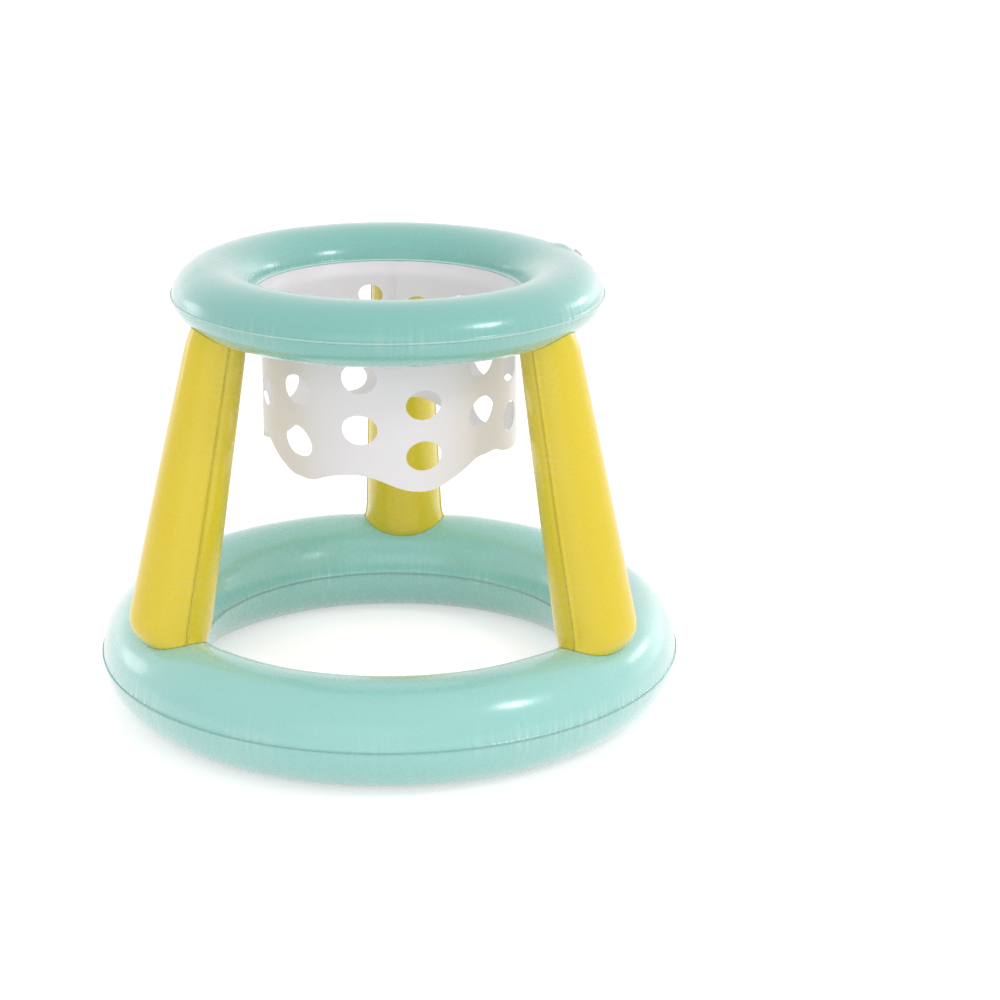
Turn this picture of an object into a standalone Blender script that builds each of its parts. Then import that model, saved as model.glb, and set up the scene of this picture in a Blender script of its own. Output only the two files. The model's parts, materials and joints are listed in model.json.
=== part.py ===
"""Floating basketball hoop: two inflatable rings, three inflatable columns and a hung net.

Every inflatable piece is made as the real one is, from thin vinyl sheets with weld lips where
two sheets meet. The rear column stands on +Y. Metres, +Z up, origin on the floor at the middle
of the base ring.
"""

import math

import bmesh
import bpy
from mathutils import Matrix, Vector

# Sheet and seams
SHEET_THICKNESS = 0.0003
PIECE_GAP = 0.0003
WELD_LIP = 0.0014
CUT_OVERRUN = 0.004

# Base ring
BASE_OUTER_DIAMETER = 0.670
BASE_TUBE_WIDTH = 0.116
BASE_TUBE_HEIGHT = 0.1184
BASE_SEAM_POINT = 0.0025
FLOOR_FLAT_WIDTH = 0.012

# Hoop ring
HOOP_OUTER_DIAMETER = 0.4866
HOOP_TUBE_WIDTH = 0.0886
HOOP_TUBE_HEIGHT = 0.0696
HOOP_SEAM_POINT = 0.002
HOOP_CENTRE_HEIGHT = 0.4764
HOOP_INNER_LIP = 0.0034

# Columns
COLUMN_AZIMUTHS = {"rear": 90.0, "left": 210.0, "right": 330.0}
COLUMN_FOOT_DIAMETER = 0.0930
COLUMN_HEAD_DIAMETER = 0.0655
COLUMN_BULGE = 0.0005
COLUMN_HEAD_OFFSET = 0.0110
FOOT_ROUNDING = 0.052
FOOT_OUTER_SHARE = 0.57
FOOT_INNER_SHARE = 0.86
FOOT_SIDE_SHARE = 1.06
FOOT_SQUARING_SHARE = 0.76
HEAD_ROUNDING = 0.024
HEAD_OUTER_SHARE = 0.88
HEAD_INNER_SHARE = 0.97
HEAD_SIDE_SHARE = 1.02
INSIDE_BASE_SHARE = 0.5
INSIDE_HOOP_SHARE = 0.4
PORT_DIAMETER = 0.012

# Net
NET_DIAMETER = 0.286
NET_DEPTH = 0.179
NET_SCALLOP_DEPTH = 0.021
NET_FLARE_HEIGHT = 0.022
NET_HOLE_WIDTH = 0.040
NET_HOLE_HEIGHT = 0.033
NET_ROW_SPACING_SHARE = 0.320
NET_LOW_ROW_SHARE = 0.168
NET_HIGH_ROW_SHARE = 0.344
NET_SMALL_HOLE_DIAMETER = 0.029
NET_SMALL_HOLE_SHARE = 0.741
NET_SEAM_OVERLAP = 0.008
NET_SEAM_AZIMUTH = 92.0
NET_HOLE_AZIMUTH = 108.7
NET_SMALL_HOLE_AZIMUTHS = (56.8, 102.3)
NET_LOBES = 6

# Valves
VALVE_FLANGE_DIAMETER = 0.028
VALVE_FLANGE_THICKNESS = 0.0008
VALVE_COLLAR_DIAMETER = 0.0136
VALVE_COLLAR_RISE = 0.0024
VALVE_COLLAR_DEPTH = 0.006
STEM_DIAMETER = 0.0094
STEM_BORE = 0.0064
STEM_CLEARANCE = 0.0001
STEM_RIM_DIAMETER = 0.0126
STEM_RIM_THICKNESS = 0.0012
STEM_LENGTH = 0.0165
EAR_WIDTH = 0.004
PLUG_CAP_DIAMETER = 0.0124
PLUG_CAP_THICKNESS = 0.0016
PLUG_PIN_DIAMETER = 0.0058
PLUG_TIP_DIAMETER = 0.0040
PLUG_PIN_LENGTH = 0.0040
STRAP_WIDTH = 0.0036
STRAP_REACH = 0.0095
FLAP_DIAMETER = 0.0080
FLAP_THICKNESS = 0.0006
FLAP_HINGE_REACH = 0.0044
FLAP_TONGUE_WIDTH = 0.002

# Facets
BASE_STEPS = 48
HOOP_STEPS = 36
BASE_ARC_STEPS = 8
HOOP_ARC_STEPS = 8
COLUMN_ARC_STEPS = 8
COLUMN_STATIONS = 3
END_STATIONS = 4
HOLE_SIDES = 12
SMALL_ROUND_SIDES = 16
SCALLOP_STEPS = 48
WELD_DISTANCE = 0.00001
BASE_VALVE_FACET = 1
HOOP_VALVE_FACET = 1
BASE_VALVE_STEP = 20
HOOP_VALVE_STEP = 2

# Colours from the photograph, linear values
AQUA = (0.32, 0.60, 0.55, 1.0)
YELLOW = (0.72, 0.55, 0.06, 1.0)
NET_WHITE = (0.72, 0.71, 0.70, 1.0)
VALVE_CLEAR = (0.80, 0.86, 0.86, 1.0)


class Ring:
    """One inflatable ring: the sizes of its tube's section and where it lies."""

    def __init__(self, outer_diameter, width, height, seam_point, centre_height, inner_lip, steps, flat):
        self.half_width = width / 2
        self.half_height = height / 2
        self.seam_point = seam_point
        self.centre_radius = outer_diameter / 2 - WELD_LIP - self.half_width
        self.inner_lip = inner_lip
        self.steps, self.arc_steps = steps
        self.flat = flat
        self.centre_height = centre_height

    def surface_height(self, offset):
        """Height of the tube's outer surface over its seam plane, at a distance from its centreline."""
        across, up, drop = arc_axes(self.half_width, self.half_height, self.seam_point)
        share = min(abs(offset) / across, 1.0)
        return max(up * math.sqrt(1.0 - share * share) - drop, 0.0)


def arc_axes(half_width, half_height, seam_point):
    """Half axes of the ellipse of a sheet's arc, and how far its centre lies past the seam."""
    level = PIECE_GAP / 2 + SHEET_THICKNESS
    up = half_height - level + seam_point
    across = half_width / math.sqrt(1.0 - (seam_point / up) ** 2)
    return across, up, seam_point - level


def arc_points(across, up, drop, level, steps, flat_half=0.0):
    """Points of the arc from its outer end at a level, over its crest, to its inner end."""
    start = math.asin((level + drop) / up)
    points = []
    for index in range(steps + 1):
        angle = start + (math.pi - 2 * start) * index / steps
        point = (across * math.cos(angle), up * math.sin(angle) - drop)
        if flat_half and 2 * index == steps:
            height = flat_level(across, up, drop, flat_half)
            points += [(flat_half, height), (-flat_half, height)]
        else:
            points.append(point)
    return points


def flat_level(across, up, drop, flat_half):
    """Height of an arc where it is as wide as the flat that it rests on."""
    return up * math.sqrt(1.0 - (flat_half / across) ** 2) - drop


def sheet_section(half_width, half_height, seam_point, lips, steps, flat_half=0.0):
    """Closed section of one bulged sheet with a weld lip on each side, above its seam plane."""
    across, up, drop = arc_axes(half_width, half_height, seam_point)
    level = PIECE_GAP / 2 + SHEET_THICKNESS
    outside = arc_points(across, up, drop, level, steps, flat_half)
    inside = arc_points(across - SHEET_THICKNESS, up - SHEET_THICKNESS, drop, PIECE_GAP / 2, steps)
    if flat_half:
        middle = steps // 2
        height = flat_level(across, up, drop, flat_half) - SHEET_THICKNESS
        inside = inside[:middle] + [(flat_half, height), (-flat_half, height)] + inside[middle + 1:]
    outer_end = half_width + lips[0]
    inner_end = -half_width - lips[1]
    section = [(outer_end, level)] + outside + [(inner_end, level), (inner_end, PIECE_GAP / 2)]
    section += list(reversed(inside)) + [(outer_end, PIECE_GAP / 2)]
    return section


def ring_section(ring, grow):
    """Closed section of a ring's whole tube, grown by a distance."""
    across, up, drop = arc_axes(ring.half_width, ring.half_height, ring.seam_point)
    across += grow
    up += grow
    arc = arc_points(across, up, drop, 0.0, ring.arc_steps)
    return arc + [(x, -z) for x, z in reversed(arc[1:-1])]


def make_material(name, colour, roughness):
    """A Principled material of one colour."""
    material = bpy.data.materials.new(name)
    material.use_nodes = True
    shader = material.node_tree.nodes["Principled BSDF"]
    shader.inputs["Base Color"].default_value = colour
    shader.inputs["Roughness"].default_value = roughness
    shader.inputs["Metallic"].default_value = 0.0
    material.diffuse_color = colour
    return material


class Workshop:
    """Collections of the part's pieces and of the cutters that shape them."""

    def __init__(self):
        for old in list(bpy.data.objects):
            bpy.data.objects.remove(old, do_unlink=True)
        self.pieces = bpy.data.collections.new("floating_basketball_hoop")
        self.cutters = bpy.data.collections.new("cutters")
        bpy.context.scene.collection.children.link(self.pieces)
        bpy.context.scene.collection.children.link(self.cutters)

    def piece(self, name, mesh, material, place=None):
        """Add a piece with its material."""
        thing = bpy.data.objects.new(name, mesh)
        mesh.materials.clear()
        mesh.materials.append(material)
        thing.matrix_world = place or Matrix.Identity(4)
        self.pieces.objects.link(thing)
        return thing

    def cutter(self, name, mesh, place=None):
        """Add a cutter, which the model itself doesn't show."""
        thing = bpy.data.objects.new(name, mesh)
        thing.matrix_world = place or Matrix.Identity(4)
        thing.display_type = "WIRE"
        thing.hide_render = True
        self.cutters.objects.link(thing)
        return thing


def mesh_from(name, build):
    """A new mesh, filled by a function that works on a bmesh."""
    mesh = bpy.data.meshes.new(name)
    work = bmesh.new()
    build(work)
    bmesh.ops.recalc_face_normals(work, faces=work.faces)
    work.to_mesh(mesh)
    work.free()
    return mesh


def profile_mesh(name, points):
    """A closed profile in the XZ plane, ready for a Screw modifier."""
    mesh = bpy.data.meshes.new(name)
    edges = [(index, (index + 1) % len(points)) for index in range(len(points))]
    mesh.from_pydata([(x, 0.0, z) for x, z in points], edges, [])
    return mesh


def turn(thing, steps):
    """Turn a profile about the Z axis."""
    screw = thing.modifiers.new("turn", "SCREW")
    screw.axis = "Z"
    screw.angle = 2 * math.pi
    screw.steps = steps
    screw.render_steps = steps
    screw.use_merge_vertices = True
    screw.merge_threshold = WELD_DISTANCE
    screw.use_smooth_shade = True
    return screw


def combine(thing, other, operation):
    """Add a Boolean modifier."""
    modifier = thing.modifiers.new(operation.lower(), "BOOLEAN")
    modifier.operation = operation
    modifier.solver = "EXACT"
    modifier.object = other
    return modifier


def loft(work, loops):
    """Skin a list of closed loops, with a cap on each end."""
    rows = [[work.verts.new(point) for point in loop] for loop in loops]
    count = len(rows[0])
    for low, high in zip(rows, rows[1:]):
        for index in range(count):
            after = (index + 1) % count
            work.faces.new((low[index], low[after], high[after], high[index]))
    work.faces.new(list(reversed(rows[0])))
    work.faces.new(rows[-1])
    bmesh.ops.triangulate(work, faces=work.faces)


def cylinder_mesh(name, radius, low, high, sides=SMALL_ROUND_SIDES, top_radius=None, turn_share=0.0):
    """A closed cylinder or cone along Z between two heights."""
    def build(work):
        bmesh.ops.create_cone(
            work, cap_ends=True, segments=sides, radius1=radius,
            radius2=radius if top_radius is None else top_radius, depth=high - low,
            matrix=Matrix.Translation((0.0, 0.0, (low + high) / 2))
            @ Matrix.Rotation(turn_share * 2 * math.pi / sides, 4, "Z"),
        )
    return mesh_from(name, build)


def box_mesh(name, low, high):
    """A closed box between two corners."""
    low, high = Vector(low), Vector(high)

    def build(work):
        bmesh.ops.create_cube(
            work, size=1.0,
            matrix=Matrix.Translation((low + high) / 2) @ Matrix.Diagonal((*(high - low), 1.0)),
        )
    return mesh_from(name, build)


def frame_at(point, x_axis, z_axis):
    """A placement with its Z axis and the direction of its X axis given."""
    z_axis = Vector(z_axis).normalized()
    x_axis = (Vector(x_axis) - z_axis * Vector(x_axis).dot(z_axis)).normalized()
    y_axis = z_axis.cross(x_axis)
    rotation = Matrix((x_axis, y_axis, z_axis)).transposed().to_4x4()
    return Matrix.Translation(Vector(point)) @ rotation


def around(azimuth, radial, height):
    """A point at an azimuth in degrees, a distance from the Z axis and a height."""
    angle = math.radians(azimuth)
    return Vector((radial * math.cos(angle), radial * math.sin(angle), height))


def facet_place(ring, facet, step):
    """Placement on the middle of one facet of a ring's top sheet, with Z out of the sheet."""
    across, up, drop = arc_axes(ring.half_width, ring.half_height, ring.seam_point)
    arc = arc_points(across, up, drop, PIECE_GAP / 2 + SHEET_THICKNESS, ring.arc_steps)
    (x_low, z_low), (x_high, z_high) = arc[facet], arc[facet + 1]
    azimuth = 360.0 * (step + 0.5) / ring.steps
    radial = (ring.centre_radius + (x_low + x_high) / 2) * math.cos(math.pi / ring.steps)
    centre = around(azimuth, radial, ring.centre_height + (z_low + z_high) / 2)
    tangent = around(azimuth + 90.0, 1.0, 0.0)
    rise = around(azimuth, x_high - x_low, z_high - z_low)
    return frame_at(centre, tangent, tangent.cross(rise))


def grown_ring(shop, name, ring, grow):
    """A solid ring grown by a distance, to cut or trim what meets its sheets."""
    points = [(ring.centre_radius + x, ring.centre_height + z) for x, z in ring_section(ring, grow)]
    points.reverse()
    thing = shop.cutter(name, profile_mesh(name, points))
    turn(thing, ring.steps)
    return thing


def ring_sheet(shop, name, ring, material, side):
    """One of the two sheets of a ring: side 1 is the top one and side -1 the bottom one."""
    flat_half = ring.flat / 2 if side < 0 else 0.0
    section = sheet_section(
        ring.half_width, ring.half_height, ring.seam_point, (WELD_LIP, ring.inner_lip), ring.arc_steps, flat_half
    )
    points = [(ring.centre_radius + x, ring.centre_height + side * z) for x, z in section]
    if side > 0:
        points.reverse()
    thing = shop.piece(name, profile_mesh(name, points), material)
    turn(thing, ring.steps)
    return thing


class Column:
    """One tilted, tapered column between the two rings."""

    def __init__(self, base, hoop, azimuth):
        self.base = base
        self.hoop = hoop
        self.foot = around(azimuth, base.centre_radius, base.centre_height + base.half_height)
        head_radial = hoop.centre_radius + COLUMN_HEAD_OFFSET
        self.head = around(azimuth, head_radial, hoop.centre_height - hoop.half_height)
        self.length = (self.head - self.foot).length
        self.axis = (self.head - self.foot).normalized()
        self.place = frame_at(self.foot, around(azimuth - 90.0, 1.0, 0.0), self.axis)

    def radius(self, along):
        """Radius of the tube at a distance along its axis, before its ends round in."""
        share = min(max(along / self.length, 0.0), 1.0)
        straight = COLUMN_FOOT_DIAMETER / 2 * (1.0 - share) + COLUMN_HEAD_DIAMETER / 2 * share
        return straight + COLUMN_BULGE * math.sin(math.pi * share)

    def end_shape(self, along, x, y):
        """A section's point, drawn in or flared where the tube nears the ring that it meets."""
        lean = self.axis.z
        slope = math.sqrt(1.0 - lean * lean)
        radius = self.radius(along)
        squared = math.copysign(radius * (abs(y) / radius) ** FOOT_SQUARING_SHARE, y)
        foot_y = squared * (FOOT_OUTER_SHARE if y > 0 else FOOT_INNER_SHARE)
        foot_drop = self.base.half_height - self.base.surface_height(foot_y)
        foot_left = along + (foot_drop + foot_y * slope) / lean
        head_y = y * (HEAD_OUTER_SHARE if y > 0 else HEAD_INNER_SHARE)
        head_rise = self.hoop.half_height - self.hoop.surface_height(head_y + COLUMN_HEAD_OFFSET)
        head_left = self.length + (head_rise - head_y * slope) / lean - along
        foot = (1.0 - min(max(foot_left / FOOT_ROUNDING, 0.0), 1.0)) ** 2
        head = (1.0 - min(max(head_left / HEAD_ROUNDING, 0.0), 1.0)) ** 2
        side = 1.0 + (FOOT_SIDE_SHARE - 1.0) * foot + (HEAD_SIDE_SHARE - 1.0) * head
        return x * side, y + (foot_y - y) * foot + (head_y - y) * head

    def stations(self):
        """Distances along the axis where the sections lie, from inside one ring to inside the other."""
        foot_end = -self.base.half_height
        head_end = self.length + self.hoop.half_height - PIECE_GAP
        foot_span = 2 * FOOT_ROUNDING
        head_span = 2 * HEAD_ROUNDING
        shares = [index / END_STATIONS for index in range(END_STATIONS + 1)]
        low = [foot_span * (share - INSIDE_BASE_SHARE) for share in shares]
        high = [self.length + head_span * (share - 1.0 + INSIDE_HOOP_SHARE) for share in shares]
        span = (high[0] - low[-1]) / COLUMN_STATIONS
        middle = [low[-1] + span * index for index in range(1, COLUMN_STATIONS)]
        return [foot_end] + low + middle + high + [head_end]

    def loop(self, along, section):
        """A section's points at a distance along the axis, in the column's own frame."""
        return [(*self.end_shape(along, x, y), along) for x, y in section]

    def sheet_mesh(self, name, side):
        """The outer sheet, side 1, or the inner one, side -1."""
        def build(work):
            loops = []
            for along in self.stations():
                radius = self.radius(along)
                section = sheet_section(radius, radius, 0.0, (WELD_LIP, WELD_LIP), COLUMN_ARC_STEPS)
                loops.append(self.loop(along, [(x, side * y) for x, y in section]))
            loft(work, loops)
        return mesh_from(name, build)

    def envelope_mesh(self, name):
        """The whole round outline of the column, as a solid."""
        def build(work):
            loops = []
            sides = 2 * COLUMN_ARC_STEPS
            for along in self.stations():
                radius = self.radius(along)
                circle = [
                    (radius * math.cos(2 * math.pi * index / sides), radius * math.sin(2 * math.pi * index / sides))
                    for index in range(sides)
                ]
                loops.append(self.loop(along, circle))
            loft(work, loops)
        return mesh_from(name, build)


def make_columns(shop, base, hoop, material, base_top):
    """Three columns, each of two sheets and of the patches that join it to the rings."""
    patch_step = PIECE_GAP + SHEET_THICKNESS
    base_gap = grown_ring(shop, "base_grown_by_gap", base, PIECE_GAP)
    base_patch = grown_ring(shop, "base_grown_by_patch", base, patch_step)
    base_seat = grown_ring(shop, "base_grown_by_seat", base, patch_step + PIECE_GAP)
    hoop_gap = grown_ring(shop, "hoop_grown_by_gap", hoop, PIECE_GAP)
    hoop_patch = grown_ring(shop, "hoop_grown_by_patch", hoop, patch_step)
    hoop_seat = grown_ring(shop, "hoop_grown_by_seat", hoop, patch_step + PIECE_GAP)
    for name, azimuth in COLUMN_AZIMUTHS.items():
        column = Column(base, hoop, azimuth)
        port_mesh = cylinder_mesh("port", PORT_DIAMETER / 2, -CUT_OVERRUN, CUT_OVERRUN, HOLE_SIDES)
        port = shop.cutter(name + "_port", port_mesh, column.place)
        combine(base_top, port, "DIFFERENCE")
        for kind, side in (("outer", 1), ("inner", -1)):
            mesh = column.sheet_mesh(f"{name}_column_{kind}_sheet", side)
            sheet = shop.piece(mesh.name, mesh, material, column.place)
            combine(sheet, base_seat, "DIFFERENCE")
            combine(sheet, hoop_seat, "DIFFERENCE")
        envelope = column.envelope_mesh(name + "_envelope")
        foot = shop.piece(name + "_column_foot_patch", envelope, material, column.place)
        combine(foot, base_patch, "INTERSECT")
        combine(foot, base_gap, "DIFFERENCE")
        combine(foot, port, "DIFFERENCE")
        envelope = column.envelope_mesh(name + "_head_envelope")
        head = shop.piece(name + "_column_head_patch", envelope, material, column.place)
        combine(head, hoop_patch, "INTERSECT")
        combine(head, hoop_gap, "DIFFERENCE")


def scallop(azimuth):
    """Height of the net's lower edge over its mean, with the lobes under the low hole columns."""
    phase = math.radians(azimuth - NET_HOLE_AZIMUTH)
    return -NET_SCALLOP_DEPTH / 2 * math.cos(NET_LOBES * phase)


def net_hole_places():
    """Azimuth, height over the net's mean edge, width and height of each hole."""
    pitch = 360.0 / (2 * NET_LOBES)
    spacing = NET_DEPTH * NET_ROW_SPACING_SHARE
    small_rise = NET_DEPTH * NET_SMALL_HOLE_SHARE
    places = []
    for index in range(2 * NET_LOBES):
        azimuth = NET_HOLE_AZIMUTH + pitch * index
        first = NET_DEPTH * (NET_LOW_ROW_SHARE if index % 2 == 0 else NET_HIGH_ROW_SHARE)
        for row in range(2):
            places.append((azimuth, first + row * spacing, NET_HOLE_WIDTH, NET_HOLE_HEIGHT))
    for azimuth in NET_SMALL_HOLE_AZIMUTHS:
        places.append((azimuth, small_rise, NET_SMALL_HOLE_DIAMETER, NET_SMALL_HOLE_DIAMETER))
    return places


def net_profile(hoop):
    """Closed section of the net: a straight wall, a flared top and a flange under the ring's lip."""
    wall = NET_DIAMETER / 2
    lip_end = hoop.centre_radius - hoop.half_width - hoop.inner_lip
    top = hoop.centre_height - PIECE_GAP / 2 - SHEET_THICKNESS - PIECE_GAP
    bend = lip_end - SHEET_THICKNESS
    flange_end = hoop.centre_radius - hoop.half_width - PIECE_GAP
    low = hoop.centre_height - NET_DEPTH - NET_SCALLOP_DEPTH
    flare = top - NET_FLARE_HEIGHT
    middle = (flare + top) / 2
    bulge = wall + (bend - wall) / 4
    outside = [(wall, low), (wall, flare), (bulge, middle), (bend, top - SHEET_THICKNESS)]
    outside += [(flange_end, top - SHEET_THICKNESS), (flange_end, top)]
    inside = [(bend - SHEET_THICKNESS, top), (bulge - SHEET_THICKNESS, middle)]
    inside += [(wall - SHEET_THICKNESS, flare), (wall - SHEET_THICKNESS, low)]
    return list(reversed(outside + inside))


def make_net(shop, hoop, material):
    """The net: a perforated sheet with a scalloped edge and an overlapped upright seam."""
    edge = hoop.centre_height - NET_DEPTH
    wall = NET_DIAMETER / 2
    net = shop.piece("net_sheet", profile_mesh("net_sheet", net_profile(hoop)), material)
    turn(net, hoop.steps)

    strip_low = edge - NET_SCALLOP_DEPTH
    strip_high = hoop.centre_height - NET_FLARE_HEIGHT - WELD_LIP
    pitch = 360.0 / hoop.steps
    facet_azimuth = pitch * (math.floor(NET_SEAM_AZIMUTH / pitch) + 0.5)
    facet_wall = wall * math.cos(math.pi / hoop.steps)
    aside = facet_wall * math.tan(math.radians(NET_SEAM_AZIMUTH - facet_azimuth))
    strip_mesh = box_mesh(
        "net_seam_strip",
        (facet_wall - SHEET_THICKNESS / 2, aside - NET_SEAM_OVERLAP / 2, strip_low),
        (facet_wall + SHEET_THICKNESS, aside + NET_SEAM_OVERLAP / 2, strip_high),
    )
    strip = shop.cutter("net_seam_strip", strip_mesh, Matrix.Rotation(math.radians(facet_azimuth), 4, "Z"))
    combine(net, strip, "UNION")

    def scallop_build(work):
        loops = []
        for low, radial in ((1, wall / 2), (1, wall * 2), (0, wall * 2), (0, wall / 2)):
            loop = []
            for index in range(SCALLOP_STEPS):
                azimuth = 360.0 * index / SCALLOP_STEPS
                height = edge - 2 * NET_SCALLOP_DEPTH if low else edge + scallop(azimuth)
                loop.append(around(azimuth, radial, height))
            loops.append(loop)
        rows = [[work.verts.new(point) for point in loop] for loop in loops]
        for row in range(len(rows)):
            following = rows[(row + 1) % len(rows)]
            for index in range(SCALLOP_STEPS):
                after = (index + 1) % SCALLOP_STEPS
                work.faces.new((rows[row][index], rows[row][after], following[after], following[index]))

    scallop_cutter = shop.cutter("net_scallops", mesh_from("net_scallops", scallop_build))
    combine(net, scallop_cutter, "DIFFERENCE")

    def holes_build(work):
        for azimuth, rise, width, height in net_hole_places():
            angle = Matrix.Rotation(math.radians(azimuth), 4, "Z")
            centre = Matrix.Translation((wall, 0.0, edge + rise))
            lie = Matrix.Rotation(math.pi / 2, 4, "Y")
            spread = Matrix.Diagonal((1.0, width / 2, height / 2, 1.0))
            bmesh.ops.create_cone(
                work, cap_ends=True, segments=HOLE_SIDES, radius1=1.0, radius2=1.0, depth=wall / 2,
                matrix=angle @ centre @ spread @ lie,
            )

    holes = shop.cutter("net_holes", mesh_from("net_holes", holes_build))
    combine(net, holes, "DIFFERENCE")
    return net


def make_valve(shop, prefix, ring, sheet, facet, step, material):
    """A valve on a ring's top sheet: flange and collar, stem, plug on its strap and inner flap."""
    place = facet_place(ring, facet, step)
    collar_hole = VALVE_COLLAR_DIAMETER / 2 + PIECE_GAP
    collar_low = -VALVE_COLLAR_DEPTH
    collar_top = VALVE_COLLAR_RISE
    hole_mesh = cylinder_mesh(prefix + "_valve_hole", collar_hole, -CUT_OVERRUN, CUT_OVERRUN)
    combine(sheet, shop.cutter(prefix + "_valve_hole", hole_mesh, place), "DIFFERENCE")

    grown_low = grown_ring(shop, prefix + "_flange_seat", ring, PIECE_GAP)
    grown_high = grown_ring(shop, prefix + "_flange_top", ring, PIECE_GAP + VALVE_FLANGE_THICKNESS)
    flange_mesh = cylinder_mesh(
        prefix + "_valve_flange", VALVE_FLANGE_DIAMETER / 2, -CUT_OVERRUN, VALVE_COLLAR_RISE, 2 * SMALL_ROUND_SIDES
    )
    flange = shop.piece(prefix + "_valve_flange", flange_mesh, material, place)
    combine(flange, grown_high, "INTERSECT")
    combine(flange, grown_low, "DIFFERENCE")
    collar = cylinder_mesh(prefix + "_valve_collar", VALVE_COLLAR_DIAMETER / 2, collar_low, collar_top)
    combine(flange, shop.cutter(prefix + "_valve_collar", collar, place), "UNION")
    bore_radius = STEM_DIAMETER / 2 + STEM_CLEARANCE
    bore = cylinder_mesh(prefix + "_collar_bore", bore_radius, collar_low - CUT_OVERRUN, collar_top + CUT_OVERRUN)
    combine(flange, shop.cutter(prefix + "_collar_bore", bore, place), "DIFFERENCE")

    rim_low = collar_top + PIECE_GAP
    rim_top = rim_low + STEM_RIM_THICKNESS
    stem_low = rim_low - STEM_LENGTH
    stem_mesh = cylinder_mesh(prefix + "_valve_stem", STEM_DIAMETER / 2, stem_low, rim_top)
    stem = shop.piece(prefix + "_valve_stem", stem_mesh, material, place)
    rim = cylinder_mesh(prefix + "_stem_rim", STEM_RIM_DIAMETER / 2, rim_low, rim_top, turn_share=0.5)
    combine(stem, shop.cutter(prefix + "_stem_rim", rim, place), "UNION")
    ear_end = STRAP_REACH + PLUG_CAP_THICKNESS / 2
    ear = box_mesh(prefix + "_stem_ear", (0.0, -EAR_WIDTH / 2, rim_low), (ear_end, EAR_WIDTH / 2, rim_top))
    combine(stem, shop.cutter(prefix + "_stem_ear", ear, place), "UNION")
    bore = cylinder_mesh(prefix + "_stem_bore", STEM_BORE / 2, stem_low - CUT_OVERRUN, rim_top + CUT_OVERRUN)
    combine(stem, shop.cutter(prefix + "_stem_bore", bore, place), "DIFFERENCE")

    cap_low = rim_top + PIECE_GAP
    cap_top = cap_low + PLUG_CAP_THICKNESS
    hinge_height = (cap_low + cap_top) / 2
    plug_place = place @ Matrix.Translation((STRAP_REACH, 0.0, hinge_height))
    back = Matrix.Translation((-STRAP_REACH, 0.0, -hinge_height))
    cap_mesh = cylinder_mesh(prefix + "_valve_plug", PLUG_CAP_DIAMETER / 2, cap_low, cap_top)
    cap_mesh.transform(back)
    plug = shop.piece(prefix + "_valve_plug", cap_mesh, material, plug_place)
    pin_mesh = cylinder_mesh(
        prefix + "_plug_pin", PLUG_TIP_DIAMETER / 2, rim_top - PLUG_PIN_LENGTH, hinge_height,
        top_radius=PLUG_PIN_DIAMETER / 2, turn_share=0.5
    )
    combine(plug, shop.cutter(prefix + "_plug_pin", pin_mesh, place), "UNION")
    strap_low = (PLUG_CAP_DIAMETER / 4, -STRAP_WIDTH / 2, cap_low + PIECE_GAP)
    strap_high = (STRAP_REACH, STRAP_WIDTH / 2, cap_top - PIECE_GAP)
    strap_mesh = box_mesh(prefix + "_plug_strap", strap_low, strap_high)
    combine(plug, shop.cutter(prefix + "_plug_strap", strap_mesh, place), "UNION")
    knuckle_mesh = cylinder_mesh(
        prefix + "_plug_knuckle", PLUG_CAP_THICKNESS / 2, -STRAP_WIDTH / 2, STRAP_WIDTH / 2, HOLE_SIDES
    )
    lie = Matrix.Rotation(math.pi / 2, 4, "X")
    combine(plug, shop.cutter(prefix + "_plug_knuckle", knuckle_mesh, plug_place @ lie), "UNION")

    flap_top = stem_low - PIECE_GAP
    flap_height = flap_top - FLAP_THICKNESS / 2
    flap_place = place @ Matrix.Translation((-FLAP_HINGE_REACH, 0.0, flap_height))
    flap_mesh = cylinder_mesh(
        prefix + "_valve_flap", FLAP_DIAMETER / 2, -FLAP_THICKNESS / 2, FLAP_THICKNESS / 2, HOLE_SIDES
    )
    flap_mesh.transform(Matrix.Translation((FLAP_HINGE_REACH, 0.0, 0.0)))
    flap = shop.piece(prefix + "_valve_flap", flap_mesh, material, flap_place)
    tongue = box_mesh(
        prefix + "_flap_tongue",
        (0.0, -FLAP_TONGUE_WIDTH / 2, -FLAP_THICKNESS / 4),
        (FLAP_HINGE_REACH, FLAP_TONGUE_WIDTH / 2, FLAP_THICKNESS / 4),
    )
    combine(flap, shop.cutter(prefix + "_flap_tongue", tongue, flap_place), "UNION")
    return place, plug_place, flap_place


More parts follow.
